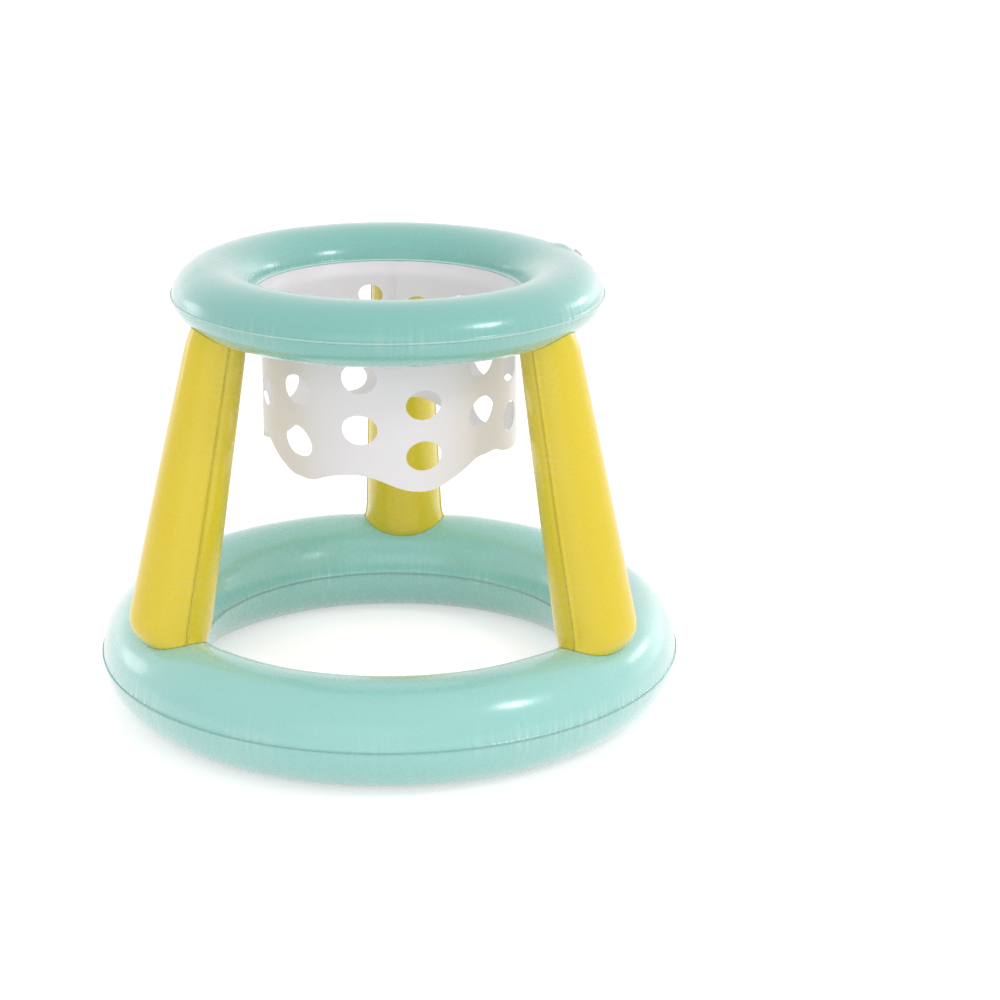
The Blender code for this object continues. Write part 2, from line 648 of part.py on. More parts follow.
def main():
    """Build the whole part."""
    shop = Workshop()
    aqua = make_material("aqua_vinyl", AQUA, 0.22)
    yellow = make_material("yellow_vinyl", YELLOW, 0.25)
    white = make_material("white_net_vinyl", NET_WHITE, 0.40)
    clear = make_material("clear_valve_vinyl", VALVE_CLEAR, 0.20)

    flat_half = FLOOR_FLAT_WIDTH / 2
    across, up, drop = arc_axes(BASE_TUBE_WIDTH / 2, BASE_TUBE_HEIGHT / 2, BASE_SEAM_POINT)
    base_height = flat_level(across, up, drop, flat_half)
    base = Ring(
        BASE_OUTER_DIAMETER, BASE_TUBE_WIDTH, BASE_TUBE_HEIGHT, BASE_SEAM_POINT, base_height,
        WELD_LIP, (BASE_STEPS, BASE_ARC_STEPS), FLOOR_FLAT_WIDTH
    )
    hoop = Ring(
        HOOP_OUTER_DIAMETER, HOOP_TUBE_WIDTH, HOOP_TUBE_HEIGHT, HOOP_SEAM_POINT, HOOP_CENTRE_HEIGHT,
        HOOP_INNER_LIP, (HOOP_STEPS, HOOP_ARC_STEPS), 0.0
    )
    base_top = ring_sheet(shop, "base_ring_top_sheet", base, aqua, 1)
    ring_sheet(shop, "base_ring_bottom_sheet", base, aqua, -1)
    hoop_top = ring_sheet(shop, "hoop_ring_top_sheet", hoop, aqua, 1)
    ring_sheet(shop, "hoop_ring_bottom_sheet", hoop, aqua, -1)
    make_columns(shop, base, hoop, yellow, base_top)
    make_net(shop, hoop, white)
    places = {
        "base": make_valve(shop, "base", base, base_top, BASE_VALVE_FACET, BASE_VALVE_STEP, clear),
        "hoop": make_valve(shop, "hoop", hoop, hoop_top, HOOP_VALVE_FACET, HOOP_VALVE_STEP, clear),
    }
    for name, (place, plug_place, flap_place) in places.items():
        print(name, "valve axis", [round(value, 6) for value in place.col[2][:3]])
        print(name, "valve across", [round(value, 6) for value in place.col[1][:3]])
        print(name, "plug hinge", [round(value, 6) for value in plug_place.translation])
        print(name, "flap hinge", [round(value, 6) for value in flap_place.translation])
    bpy.context.view_layer.update()


main()
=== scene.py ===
"""Looks of the floating basketball hoop: inflated vinyl, a hung perforated net and clear valves.

Metres, +Z up, origin on the floor at the middle of the base ring, rear column on +Y.
"""

import json
import logging
import math
from collections.abc import Iterator
from contextlib import contextmanager
from dataclasses import dataclass
from enum import Enum

import bmesh
import bpy
from mathutils import Matrix, Vector, noise


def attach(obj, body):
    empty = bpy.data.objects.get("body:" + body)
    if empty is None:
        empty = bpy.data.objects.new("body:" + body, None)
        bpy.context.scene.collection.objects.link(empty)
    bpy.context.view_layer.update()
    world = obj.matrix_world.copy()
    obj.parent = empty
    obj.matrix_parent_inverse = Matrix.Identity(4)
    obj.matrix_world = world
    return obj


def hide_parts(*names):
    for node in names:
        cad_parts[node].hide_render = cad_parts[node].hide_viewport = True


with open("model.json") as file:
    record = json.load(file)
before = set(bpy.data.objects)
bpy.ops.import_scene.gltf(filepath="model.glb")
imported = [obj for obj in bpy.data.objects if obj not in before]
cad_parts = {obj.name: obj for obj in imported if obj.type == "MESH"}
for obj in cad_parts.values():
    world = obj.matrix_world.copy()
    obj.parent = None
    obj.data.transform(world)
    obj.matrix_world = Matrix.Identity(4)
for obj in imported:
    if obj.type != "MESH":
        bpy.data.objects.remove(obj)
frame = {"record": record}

LOG = logging.getLogger("floating_hoop")
SHEET = 0.0003  # thickness of the vinyl
GAP = 0.0003  # clearance between two sheets
LEVEL = GAP / 2 + SHEET  # height of a sheet's face over its seam's plane
SEAT = 0.00005  # clearance of a column's end from its ring
LIP = 0.0014  # width of a weld lip
RIB_PITCH = 0.0021  # distance between two ribs of a weld
ROOT_BODY = "hoop_body"
IMAGE_SIDE = 1000  # side of the photograph in pixels
UP = Vector((0.0, 0.0, 1.0))
WHITE = (1.0, 1.0, 1.0, 1.0)
COLUMN_AZIMUTHS = {"rear": 90.0, "left": 210.0, "right": 330.0}

Socket = bpy.types.NodeSocket
Triple = tuple[float, float, float]
Span = tuple[float, float]
LipLine = list[tuple[Vector, Vector, Vector]]  # places along a weld lip, with the ways out and up


class Side(Enum):
    """The two sheets of a ring, or of a column."""

    UPPER = 1
    LOWER = -1


def lerp(low: float, high: float, share: float) -> float:
    """The value at a share of the way between two others."""
    return low + (high - low) * share


def smooth_step(low: float, high: float, value: float) -> float:
    """A share from 0 to 1 that eases in and out between two limits."""
    share = min(max((value - low) / (high - low), 0.0), 1.0)
    return share * share * (3.0 - 2.0 * share)


def around(azimuth: float, radial: float, height: float) -> Vector:
    """A point at an azimuth in degrees, a distance from the Z axis and a height."""
    angle = math.radians(azimuth)
    return Vector((radial * math.cos(angle), radial * math.sin(angle), height))


def frame_at(point: Vector, x_axis: Vector, z_axis: Vector) -> Matrix:
    """A placement.

    Args:
        point: its origin.
        x_axis: the direction that its X axis leans to.
        z_axis: its Z axis.

    Returns:
        The placement as a matrix.
    """
    up = z_axis.normalized()
    side = (x_axis - up * x_axis.dot(up)).normalized()
    rotation = Matrix((side, up.cross(side), up)).transposed().to_4x4()
    return Matrix.Translation(point) @ rotation


def linked(name: str, data: bpy.types.ID) -> bpy.types.Object:
    """A new object of the scene."""
    thing = bpy.data.objects.new(name, data)
    bpy.context.scene.collection.objects.link(thing)
    return thing


class NodeSheet:
    """A node tree that is filled by short calls."""

    def __init__(self, tree: bpy.types.NodeTree) -> None:
        """Keep the tree that the calls fill."""
        self.tree = tree

    def fill(self, node: bpy.types.Node, inputs: dict) -> None:
        """Set or link some of a node's inputs.

        Args:
            node: a node of the tree.
            inputs: values, or sockets to link, by the name or number of the node's input.
        """
        for key, value in inputs.items():
            if isinstance(value, Socket):
                self.tree.links.new(value, node.inputs[key])
            else:
                node.inputs[key].default_value = value

    def add(self, kind: str, inputs: dict | None = None, **settings: object) -> bpy.types.Node:
        """Add a node.

        Args:
            kind: the node's type name.
            inputs: what its inputs are filled with.
            settings: properties of the node itself.

        Returns:
            The new node.
        """
        node = self.tree.nodes.new(kind)
        for name, value in settings.items():
            setattr(node, name, value)
        self.fill(node, inputs or {})
        return node

    def math(self, operation: str, first: object, second: object = 0.0) -> Socket:
        """A Math node's result for two values or sockets."""
        return self.add("ShaderNodeMath", {0: first, 1: second}, operation=operation).outputs[0]

    def mix(self, share: object, first: object, second: object) -> Socket:
        """A mix of two colours, each a socket or a tuple of three."""
        first, second = ((*tone, 1.0) if isinstance(tone, tuple) else tone for tone in (first, second))
        inputs = {"Factor": share, "A": first, "B": second}
        return self.add("ShaderNodeMix", inputs, data_type="RGBA").outputs["Result"]

    def noise(self, place: Socket, scale: float, detail: float) -> Socket:
        """A noise between 0 and 1 at a place."""
        inputs = {"Vector": place, "Scale": scale, "Detail": detail}
        return self.add("ShaderNodeTexNoise", inputs).outputs["Fac"]

    def remap(self, value: Socket, span: Span, target: Span) -> Socket:
        """A value moved from one span of numbers to another, and held within it."""
        limits = dict(zip(("From Min", "From Max", "To Min", "To Max"), (*span, *target)))
        return self.add("ShaderNodeMapRange", {"Value": value, **limits}).outputs["Result"]


class ShapeTree(NodeSheet):
    """A Geometry Nodes tree with named inputs, and the modifier that works a mesh through it."""

    def __init__(self, name: str) -> None:
        """Start the tree.

        Args:
            name: the tree's name.
        """
        super().__init__(bpy.data.node_groups.new(name, "GeometryNodeTree"))
        self.values: dict[str, object] = {}
        self.tree.interface.new_socket("Geometry", in_out="OUTPUT", socket_type="NodeSocketGeometry")
        self.shape = self.input("Geometry", "NodeSocketGeometry", None)

    def input(self, name: str, kind: str, value: object) -> Socket:
        """Add a named input.

        Args:
            name: the input's name.
            kind: its socket type.
            value: what the modifier sets it to, or None.

        Returns:
            The socket that gives it inside the tree.
        """
        socket = self.tree.interface.new_socket(name, in_out="INPUT", socket_type=kind)
        if value is not None:
            self.values[socket.identifier] = value
        entry = self.tree.nodes.new("NodeGroupInput")
        return next(output for output in entry.outputs if output.identifier == socket.identifier)

    def attribute(self, name: str) -> Socket:
        """The vector attribute of a name."""
        node = self.add("GeometryNodeInputNamedAttribute", {"Name": name}, data_type="FLOAT_VECTOR")
        return node.outputs[0]

    def close(self, shape: Socket, film: bpy.types.Material) -> None:
        """End the tree: what it made becomes one mesh of one material.

        Args:
            shape: the geometry that leaves the tree.
            film: its material.
        """
        dress = self.input("Film", "NodeSocketMaterial", film)
        solid = self.add("GeometryNodeRealizeInstances", {"Geometry": shape}).outputs["Geometry"]
        dressed = self.add("GeometryNodeSetMaterial", {"Geometry": solid, "Material": dress})
        self.add("NodeGroupOutput", {"Geometry": dressed.outputs["Geometry"]})

    def work(self, mesh: bpy.types.Mesh) -> bpy.types.Mesh:
        """Send a mesh through the tree.

        Args:
            mesh: what goes in.

        Returns:
            A plain mesh.
        """
        thing = linked(mesh.name, mesh)
        modifier = thing.modifiers.new(self.tree.name, "NODES")
        modifier.node_group = self.tree
        for key, value in self.values.items():
            modifier[key] = value
        graph = bpy.context.evaluated_depsgraph_get()
        made = bpy.data.meshes.new_from_object(thing.evaluated_get(graph))
        thing.modifiers.remove(modifier)
        bpy.data.objects.remove(thing)
        return made


@dataclass(frozen=True)
class Finish:
    """One kind of vinyl: its colours, its gloss and the relief of its film.

    Each noise is a pair of its scale and its detail.
    """

    name: str
    colour: Triple
    deep_colour: Triple
    # The colour painted along each weld: paler on the hoop as a painted highlight on its lip, paler on the
    # columns as painted light against the shade beside their lips, darker on the base as painted shade in the
    # gap beside its lip, darker on the net, and the valve's own tone on the clear vinyl.
    weld_light_and_shade: Triple
    roughness: float
    gloss_coat: float
    sheen: float = 0.0
    subsurface: float = 0.0
    transmission: float = 0.0
    pucker: float = 0.0
    refraction: float = 1.53
    coat_roughness: float = 0.18
    sheen_roughness: float = 0.45
    scatter_reach: float = 0.001
    cloud_noise: Span = (7.0, 2.0)
    cloud_share: float = 0.22
    rough_noise: Span = (160.0, 3.0)
    rough_span: Span = (0.3, 0.7)
    rough_spread: Span = (0.86, 1.16)
    weld_reach: float = 0.0008
    weld_share: float = 0.85
    crest_noise: Span = (240.0, 0.0)
    crest_span: Span = (0.42, 0.72)
    cluster_noise: Span = (11.0, 0.0)
    cluster_span: Span = (0.42, 0.62)
    cluster_least: float = 0.1
    crease_fade: float = 100.0
    # The next two numbers paint a highlight on the pucker crests: its strength for each unit of pucker depth,
    # and how near to white its tone lies.
    crest_highlight_gain: float = 800.0
    crest_highlight_share: float = 0.55
    swell_noise: Span = (14.0, 1.0)
    swell_relief: float = 0.0016
    skin_noise: Span = (420.0, 2.0)
    skin_relief: float = 0.000016

    def material(self) -> bpy.types.Material:
        """Build the material.

        Returns:
            A Principled material whose tone, roughness and relief vary over the film.
        """
        material = bpy.data.materials.new(self.name)
        material.use_nodes = True
        film = FilmNodes(self, material.node_tree)
        relief = film.relief()
        film.fill(material.node_tree.nodes["Principled BSDF"], {
            "Base Color": film.tone(), "Roughness": film.roughness(), "Normal": relief, "Coat Normal": relief,
            "Metallic": 0.0, "IOR": self.refraction, "Transmission Weight": self.transmission,
            "Coat Weight": self.gloss_coat, "Coat Roughness": self.coat_roughness,
            "Sheen Weight": self.sheen, "Sheen Roughness": self.sheen_roughness,
            "Subsurface Weight": self.subsurface, "Subsurface Radius": (self.scatter_reach,) * 3,
            "Subsurface Scale": 1.0,
        })
        return material


class FilmNodes(NodeSheet):
    """The nodes that vary one finish over its film."""

    def __init__(self, finish: Finish, tree: bpy.types.NodeTree) -> None:
        """Start with the places and marks that the others read.

        Args:
            finish: the finish.
            tree: its material's nodes.
        """
        super().__init__(tree)
        self.finish = finish
        self.place = self.add("ShaderNodeTexCoord").outputs["Object"]
        self.weld = self.add("ShaderNodeAttribute", attribute_name="seam_distance").outputs["Fac"]
        self.crease = self.creases()

    def creases(self) -> Socket:
        """The puckers that run square to a weld, in clusters.

        Returns:
            Their height, from 0 to 1.
        """
        finish = self.finish
        run = self.add("ShaderNodeAttribute", attribute_name="seam_place").outputs["Vector"]
        crest = self.remap(self.noise(run, *finish.crest_noise), finish.crest_span, (0.0, 1.0))
        where = self.noise(run, *finish.cluster_noise)
        cluster = self.remap(where, finish.cluster_span, (finish.cluster_least, 1.0))
        fade = self.math("POWER", math.e, self.math("MULTIPLY", self.weld, -finish.crease_fade))
        return self.math("MULTIPLY", self.math("MULTIPLY", crest, fade), cluster)

    def tone(self) -> Socket:
        """The film's colour: clouded, with a painted highlight on the pucker crests and painted light and shade
        along the weld.

        Returns:
            The colour.
        """
        finish = self.finish
        cloud = self.math("MULTIPLY", self.noise(self.place, *finish.cloud_noise), finish.cloud_share)
        film = self.mix(cloud, finish.colour, finish.deep_colour)
        # Painted highlight: the film is lightened along the pucker crests, as if light caught them.
        crest_highlight = tuple(lerp(part, 1.0, finish.crest_highlight_share) for part in finish.colour)
        film = self.mix(self.math("MULTIPLY", self.crease, finish.pucker * finish.crest_highlight_gain), film, crest_highlight)
        # Painted light and shade along the weld: the tone blends to the weld's colour within the weld's reach.
        near = self.remap(self.weld, (0.0, finish.weld_reach), (finish.weld_share, 0.0))
        return self.mix(near, film, finish.weld_light_and_shade)

    def roughness(self) -> Socket:
        """The film's roughness, which varies finely about its finish's own.

        Returns:
            The roughness.
        """
        spread = tuple(self.finish.roughness * share for share in self.finish.rough_spread)
        grain = self.noise(self.place, *self.finish.rough_noise)
        return self.remap(grain, self.finish.rough_span, spread)

    def relief(self) -> Socket:
        """Relief: slow waves of the film, its fine skin, and the puckers.

        Returns:
            The normal.
        """
        finish = self.finish
        swell = self.math("MULTIPLY", self.noise(self.place, *finish.swell_noise), finish.swell_relief)
        skin = self.math("MULTIPLY", self.noise(self.place, *finish.skin_noise), finish.skin_relief)
        pucker = self.math("MULTIPLY", self.crease, finish.pucker)
        height = self.math("ADD", self.math("ADD", swell, skin), pucker)
        bump = self.add("ShaderNodeBump", {"Strength": 1.0, "Distance": 1.0, "Height": height})
        return bump.outputs["Normal"]


# The base and the hoop are one aqua vinyl, given as a lit and a shaded copy: the base's copy is painted paler,
# a painted light that offsets the shade from the hoop and the columns and stands in for the pale reflections on
# its top.
BASE_AQUA_PAINTED_LIGHT = Finish(
    "base_aqua_vinyl", (0.300, 0.640, 0.588), (0.250, 0.585, 0.528), (0.220, 0.560, 0.500),
    roughness=0.26, gloss_coat=1.0, sheen=0.35, pucker=0.0005,
)
# The hoop's copy of the same aqua vinyl is painted deeper, a painted shade that offsets the stronger lamp light
# on the hoop.
HOOP_AQUA_PAINTED_SHADE = Finish(
    "hoop_aqua_vinyl", (0.196, 0.505, 0.450), (0.158, 0.448, 0.388), (0.560, 0.860, 0.820),
    roughness=0.26, gloss_coat=1.0, sheen=0.30, pucker=0.0004,
)
YELLOW = Finish(
    "yellow_inflated_vinyl", (0.765, 0.588, 0.006), (0.715, 0.538, 0.004), (0.860, 0.680, 0.008),
    roughness=0.28, gloss_coat=0.5, pucker=0.0003,
)
NET_WHITE = Finish(
    "white_net_vinyl", (0.815, 0.775, 0.800), (0.795, 0.755, 0.780), (0.700, 0.665, 0.685),
    roughness=0.42, gloss_coat=0.06, sheen=0.05, subsurface=0.20,
)
CLEAR = Finish(
    "clear_valve_vinyl", (0.86, 0.93, 0.92), (0.80, 0.90, 0.89), (0.86, 0.93, 0.92),
    roughness=0.22, gloss_coat=0.2, transmission=0.20,
)


@dataclass
class Piece:
    """A finished piece: its mesh object, and what it stands for in the frame."""

    name: str
    mesh: bpy.types.Mesh
    body: str
    slot: str
    replaces: tuple[str, ...] = ()

    def place(self, material: bpy.types.Material, thickness: float = 0.0) -> bpy.types.Object:
        """Put the piece in the scene on its body.

        Args:
            material: its finish.
            thickness: the sheet's thickness, grown inwards, or 0 for a closed solid.

        Returns:
            The piece's object.
        """
        self.mesh.name = self.name
        self.mesh.materials.clear()
        self.mesh.materials.append(material)
        thing = linked(self.name, self.mesh)
        if thickness:
            wall = thing.modifiers.new("sheet thickness", "SOLIDIFY")
            wall.thickness = thickness
            wall.offset = -1.0
        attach(thing, self.body)
        if self.replaces:
            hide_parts(*self.replaces)
        LOG.info("%s: %d faces on %s", self.name, len(self.mesh.polygons), self.body)
        return thing


def grid_mesh(
    name: str, rows: list[list[Vector]], closed: bool, flip: bool, marks: dict[str, list[list]] | None = None
) -> bpy.types.Mesh:
    """Skin rows of points.

    Args:
        name: the mesh's name.
        rows: rows of points, each as long as the others.
        closed: whether the last row joins the first one.
        flip: whether the faces are turned over.
        marks: values kept at each point, by attribute name, as rows of numbers or of vectors.

    Returns:
        The mesh, shaded smooth.
    """
    count = len(rows[0])
    points = [point for row in rows for point in row]
    faces = []
    for index in range(len(rows) if closed else len(rows) - 1):
        low = index * count
        high = ((index + 1) % len(rows)) * count
        for step in range(count - 1):
            face = (low + step, high + step, high + step + 1, low + step + 1)
            faces.append(tuple(reversed(face)) if flip else face)
    mesh = bpy.data.meshes.new(name)
    mesh.from_pydata(points, [], faces)
    for key, values in (marks or {}).items():
        mark_points(mesh, key, [value for row in values for value in row])
    mesh.shade_smooth()
    return mesh


def mark_points(mesh: bpy.types.Mesh, name: str, values: list) -> None:
    """Keep a number or a vector at each point of a mesh, as an attribute.

    Args:
        mesh: the mesh.
        name: the attribute's name.
        values: one for each point.
    """
    if isinstance(values[0], Vector):
        layer = mesh.attributes.new(name, "FLOAT_VECTOR", "POINT")
        layer.data.foreach_set("vector", [number for value in values for number in value])
    else:
        layer = mesh.attributes.new(name, "FLOAT", "POINT")
        layer.data.foreach_set("value", values)


@contextmanager
def worked(mesh: bpy.types.Mesh) -> Iterator[bmesh.types.BMesh]:
    """A mesh opened for bmesh's operators, and written back at the end.

    Args:
        mesh: the mesh.

    Returns:
        It as a work mesh.
    """
    work = bmesh.new()
    work.from_mesh(mesh)
    yield work
    work.to_mesh(mesh)
    work.free()


@dataclass
class ValveSeat:
    """Where a valve stands on a ring: its placement, with Z out of the sheet."""

    place: Matrix
    flat_radius: float = 0.0155
    blend_radius: float = 0.034
    hole_radius: float = 0.0092

    def press(self, point: Vector) -> Vector:
        """A point of the ring's sheet, pressed flat where the valve's flange lies.

        Args:
            point: the point.

        Returns:
            Its place on the pressed sheet.
        """
        local = self.place.inverted() @ point
        reach = math.hypot(local.x, local.y)
        if reach > self.blend_radius or abs(local.z) > self.blend_radius / 2:
            return point
        share = 1.0 - smooth_step(self.flat_radius, self.blend_radius, reach)
        local.z *= 1.0 - share
        return self.place @ local


@dataclass
class Dent:
    """A shallow hollow in a ring where a column presses on it."""

    azimuth: float
    across: float
    depth: float
    along_reach: float = 0.066
    across_reach: float = 0.050


@dataclass(frozen=True)
class Puckers:
    """The puckers beside one weld of a ring: how far they reach, how fine and how deep they are."""

    reach: float
    scale: float
    gain: float


OUTER_PUCKERS = Puckers(0.008, 80.0, 1.0)
INNER_PUCKERS = Puckers(0.012, 95.0, 1.5)


@dataclass
class InflatedRing:
    """One inflatable ring: two bulged sheets that meet at weld lips."""

    name: str
    outer_diameter: float
    width: float
    height: float
    seam_point: float
    centre_height: float
    inner_lip: float
    steps: int
    rows: int
    pucker_depth: float
    seed: float
    dented_side: Side
    dents: list[Dent]
    seats: list[ValveSeat]
    swell_depth: float = 0.00035
    swell_scale: float = 9.0
    swell_twist: float = 1.3
    burst_scale: float = 14.0
    lip_ease: float = 0.0012

    def __post_init__(self) -> None:
        """Work out the tube's half sizes, its main circles and the half axes of a sheet's arc."""
        self.half_width, self.half_height = self.width / 2, self.height / 2
        self.outer_edge = self.outer_diameter / 2
        self.centre_radius = self.outer_edge - LIP - self.half_width
        self.inner_edge = self.centre_radius - self.half_width - self.inner_lip
        self.arc_height = self.half_height - LEVEL + self.seam_point
        self.arc_width = self.half_width / math.sqrt(1.0 - (self.seam_point / self.arc_height) ** 2)
        self.arc_drop = self.seam_point - LEVEL

    def surface_height(self, offset: float) -> float:
        """Height of the sheet over the seam plane at a distance from the tube's middle."""
        share = min(abs(offset) / self.arc_width, 1.0)
        return max(self.arc_height * math.sqrt(1.0 - share * share) - self.arc_drop, 0.0)

    def hollow(self, azimuth: float, offset: float, side: Side) -> float:
        """How deep the dents are at a place on the tube.

        Args:
            azimuth: in degrees.
            offset: distance outwards from the tube's middle.
            side: the sheet.

        Returns:
            The depth, square to the crest.
        """
        if side is not self.dented_side:
            return 0.0
        depth = 0.0
        for dent in self.dents:
            turn = (azimuth - dent.azimuth + 180.0) % 360.0 - 180.0
            along = math.radians(turn) * (self.centre_radius + offset) / dent.along_reach
            across = (offset - dent.across) / dent.across_reach
            depth += dent.depth * math.exp(-((along * along + across * across) ** 2))
        return depth

    def top_at(self, point: Vector, side: Side) -> float:
        """Height of the dented sheet above or below a point.

        Args:
            point: any point.
            side: the sheet.

        Returns:
            The sheet's height at that place.
        """
        radial = math.hypot(point.x, point.y)
        azimuth = math.degrees(math.atan2(point.y, point.x))
        offset = radial - self.centre_radius
        rise = self.surface_height(offset) - self.hollow(azimuth, offset, side)
        return self.centre_height + side.value * rise

    def point(self, azimuth: float, share: float, side: Side) -> tuple[Vector, float]:
        """A point of a sheet.

        Args:
            azimuth: in degrees.
            share: 0 at the outer weld and 1 at the inner one.
            side: the sheet.

        Returns:
            The point, and its distance along the sheet to the nearest weld.
        """
        start = math.asin((LEVEL + self.arc_drop) / self.arc_height)
        angle = start + (math.pi - 2 * start) * share
        cosine, sine = math.cos(angle), math.sin(angle)
        weld = min(angle - start, math.pi - start - angle) * (self.arc_width + self.arc_height) / 2
        normal = Vector((cosine / self.arc_width, sine / self.arc_height)).normalized()
        relief = self.relief(azimuth, share, weld, side)
        offset = self.arc_width * cosine + normal.x * relief
        rise = self.arc_height * sine - self.arc_drop + (normal.y * relief - self.hollow(azimuth, offset, side))
        place = around(azimuth, self.centre_radius + offset, self.centre_height + side.value * rise)
        place.z = max(place.z, 0.0)
        if side is Side.UPPER:
            for seat in self.seats:
                place = seat.press(place)
        return place, weld

    def relief(self, azimuth: float, share: float, weld: float, side: Side) -> float:
        """How far the film stands off its plain section: slow swells and puckers at the welds.

        Args:
            azimuth: in degrees.
            share: 0 at the outer weld and 1 at the inner one.
            weld: the distance to the nearest weld.
            side: the sheet.

        Returns:
            The distance outwards.
        """
        spot = around(azimuth, self.centre_radius, 0.0)
        puckers = OUTER_PUCKERS if share <= 0.5 else INNER_PUCKERS
        swell = noise.noise(spot * self.swell_scale + UP * (share * self.swell_twist + self.seed))
        ripple = noise.noise(spot * puckers.scale + UP * (side.value * self.seed))
        burst = 0.5 + 0.5 * noise.noise(spot * self.burst_scale + Vector((self.seed, 0.0, 0.0)))
        fade = math.exp(-weld / puckers.reach) * (1.0 - math.exp(-weld / self.lip_ease))
        return self.swell_depth * swell - self.pucker_depth * puckers.gain * burst * (0.5 + ripple) * fade

    def sheet_piece(self, side: Side) -> Piece:
        """One sheet of the ring.

        Args:
            side: the upper or the lower sheet.

        Returns:
            The piece, which stands for the frame's node of the same name.
        """
        level = self.centre_height + side.value * LEVEL
        lines, welds, runs = [], [], []
        for step in range(self.steps):
            azimuth = 360.0 * step / self.steps
            film = [self.point(azimuth, row / self.rows, side) for row in range(self.rows + 1)]
            outer, inner = (around(azimuth, edge, level) for edge in (self.outer_edge, self.inner_edge))
            lines.append([outer, *(place for place, _ in film), inner])
            welds.append([0.0, *(weld for _, weld in film), 0.0])
            runs.append([around(azimuth, self.centre_radius, 0.0)] * len(lines[-1]))
        kind = "top" if side is Side.UPPER else "bottom"
        name = f"{self.name}_ring_{kind}_sheet"
        marks = {"seam_distance": welds, "seam_place": runs}
        mesh = grid_mesh(name, lines, True, side is Side.LOWER, marks)
        if side is Side.UPPER:
            for seat in self.seats:
                self.open_seat(mesh, seat)
        return Piece(name + "_film", mesh, ROOT_BODY, "aqua_vinyl", (name,))

    def lip_line(self, outer: bool) -> LipLine:
        """The line along the middle of a weld lip, up to one rib before its start.

        Args:
            outer: whether it is the outer lip.

        Returns:
            The line.
        """
        edge = self.outer_edge if outer else self.inner_edge
        turn = 360.0 - math.degrees(RIB_PITCH / edge)
        line = []
        for step in range(self.steps + 1):
            azimuth = turn * step / self.steps
            way = around(azimuth, 1.0 if outer else -1.0, 0.0)
            line.append((around(azimuth, edge, self.centre_height) - way * LIP / 2, way, UP))
        return line

    @staticmethod
    def open_seat(mesh: bpy.types.Mesh, seat: ValveSeat) -> None:
        """Open a round hole for a valve's collar.

        Args:
            mesh: the upper sheet.
            seat: where the valve stands.
        """
        inverse = seat.place.inverted()

        def reach(point: Vector) -> float:
            """Distance of a point from the valve's axis, or a large one if it lies deep below."""
            local = inverse @ point
            return math.hypot(local.x, local.y) if abs(local.z) < seat.flat_radius / 2 else 1.0

        with worked(mesh) as work:
            doomed = [face for face in work.faces if reach(face.calc_center_median()) < seat.hole_radius]
            rim = {vert for face in doomed for vert in face.verts}
            bmesh.ops.delete(work, geom=doomed, context="FACES")
            for vert in rim:
                if vert.is_valid:
                    local = inverse @ vert.co
                    scale = seat.hole_radius / max(math.hypot(local.x, local.y), SHEET)
                    vert.co = seat.place @ Vector((local.x * scale, local.y * scale, 0.0))


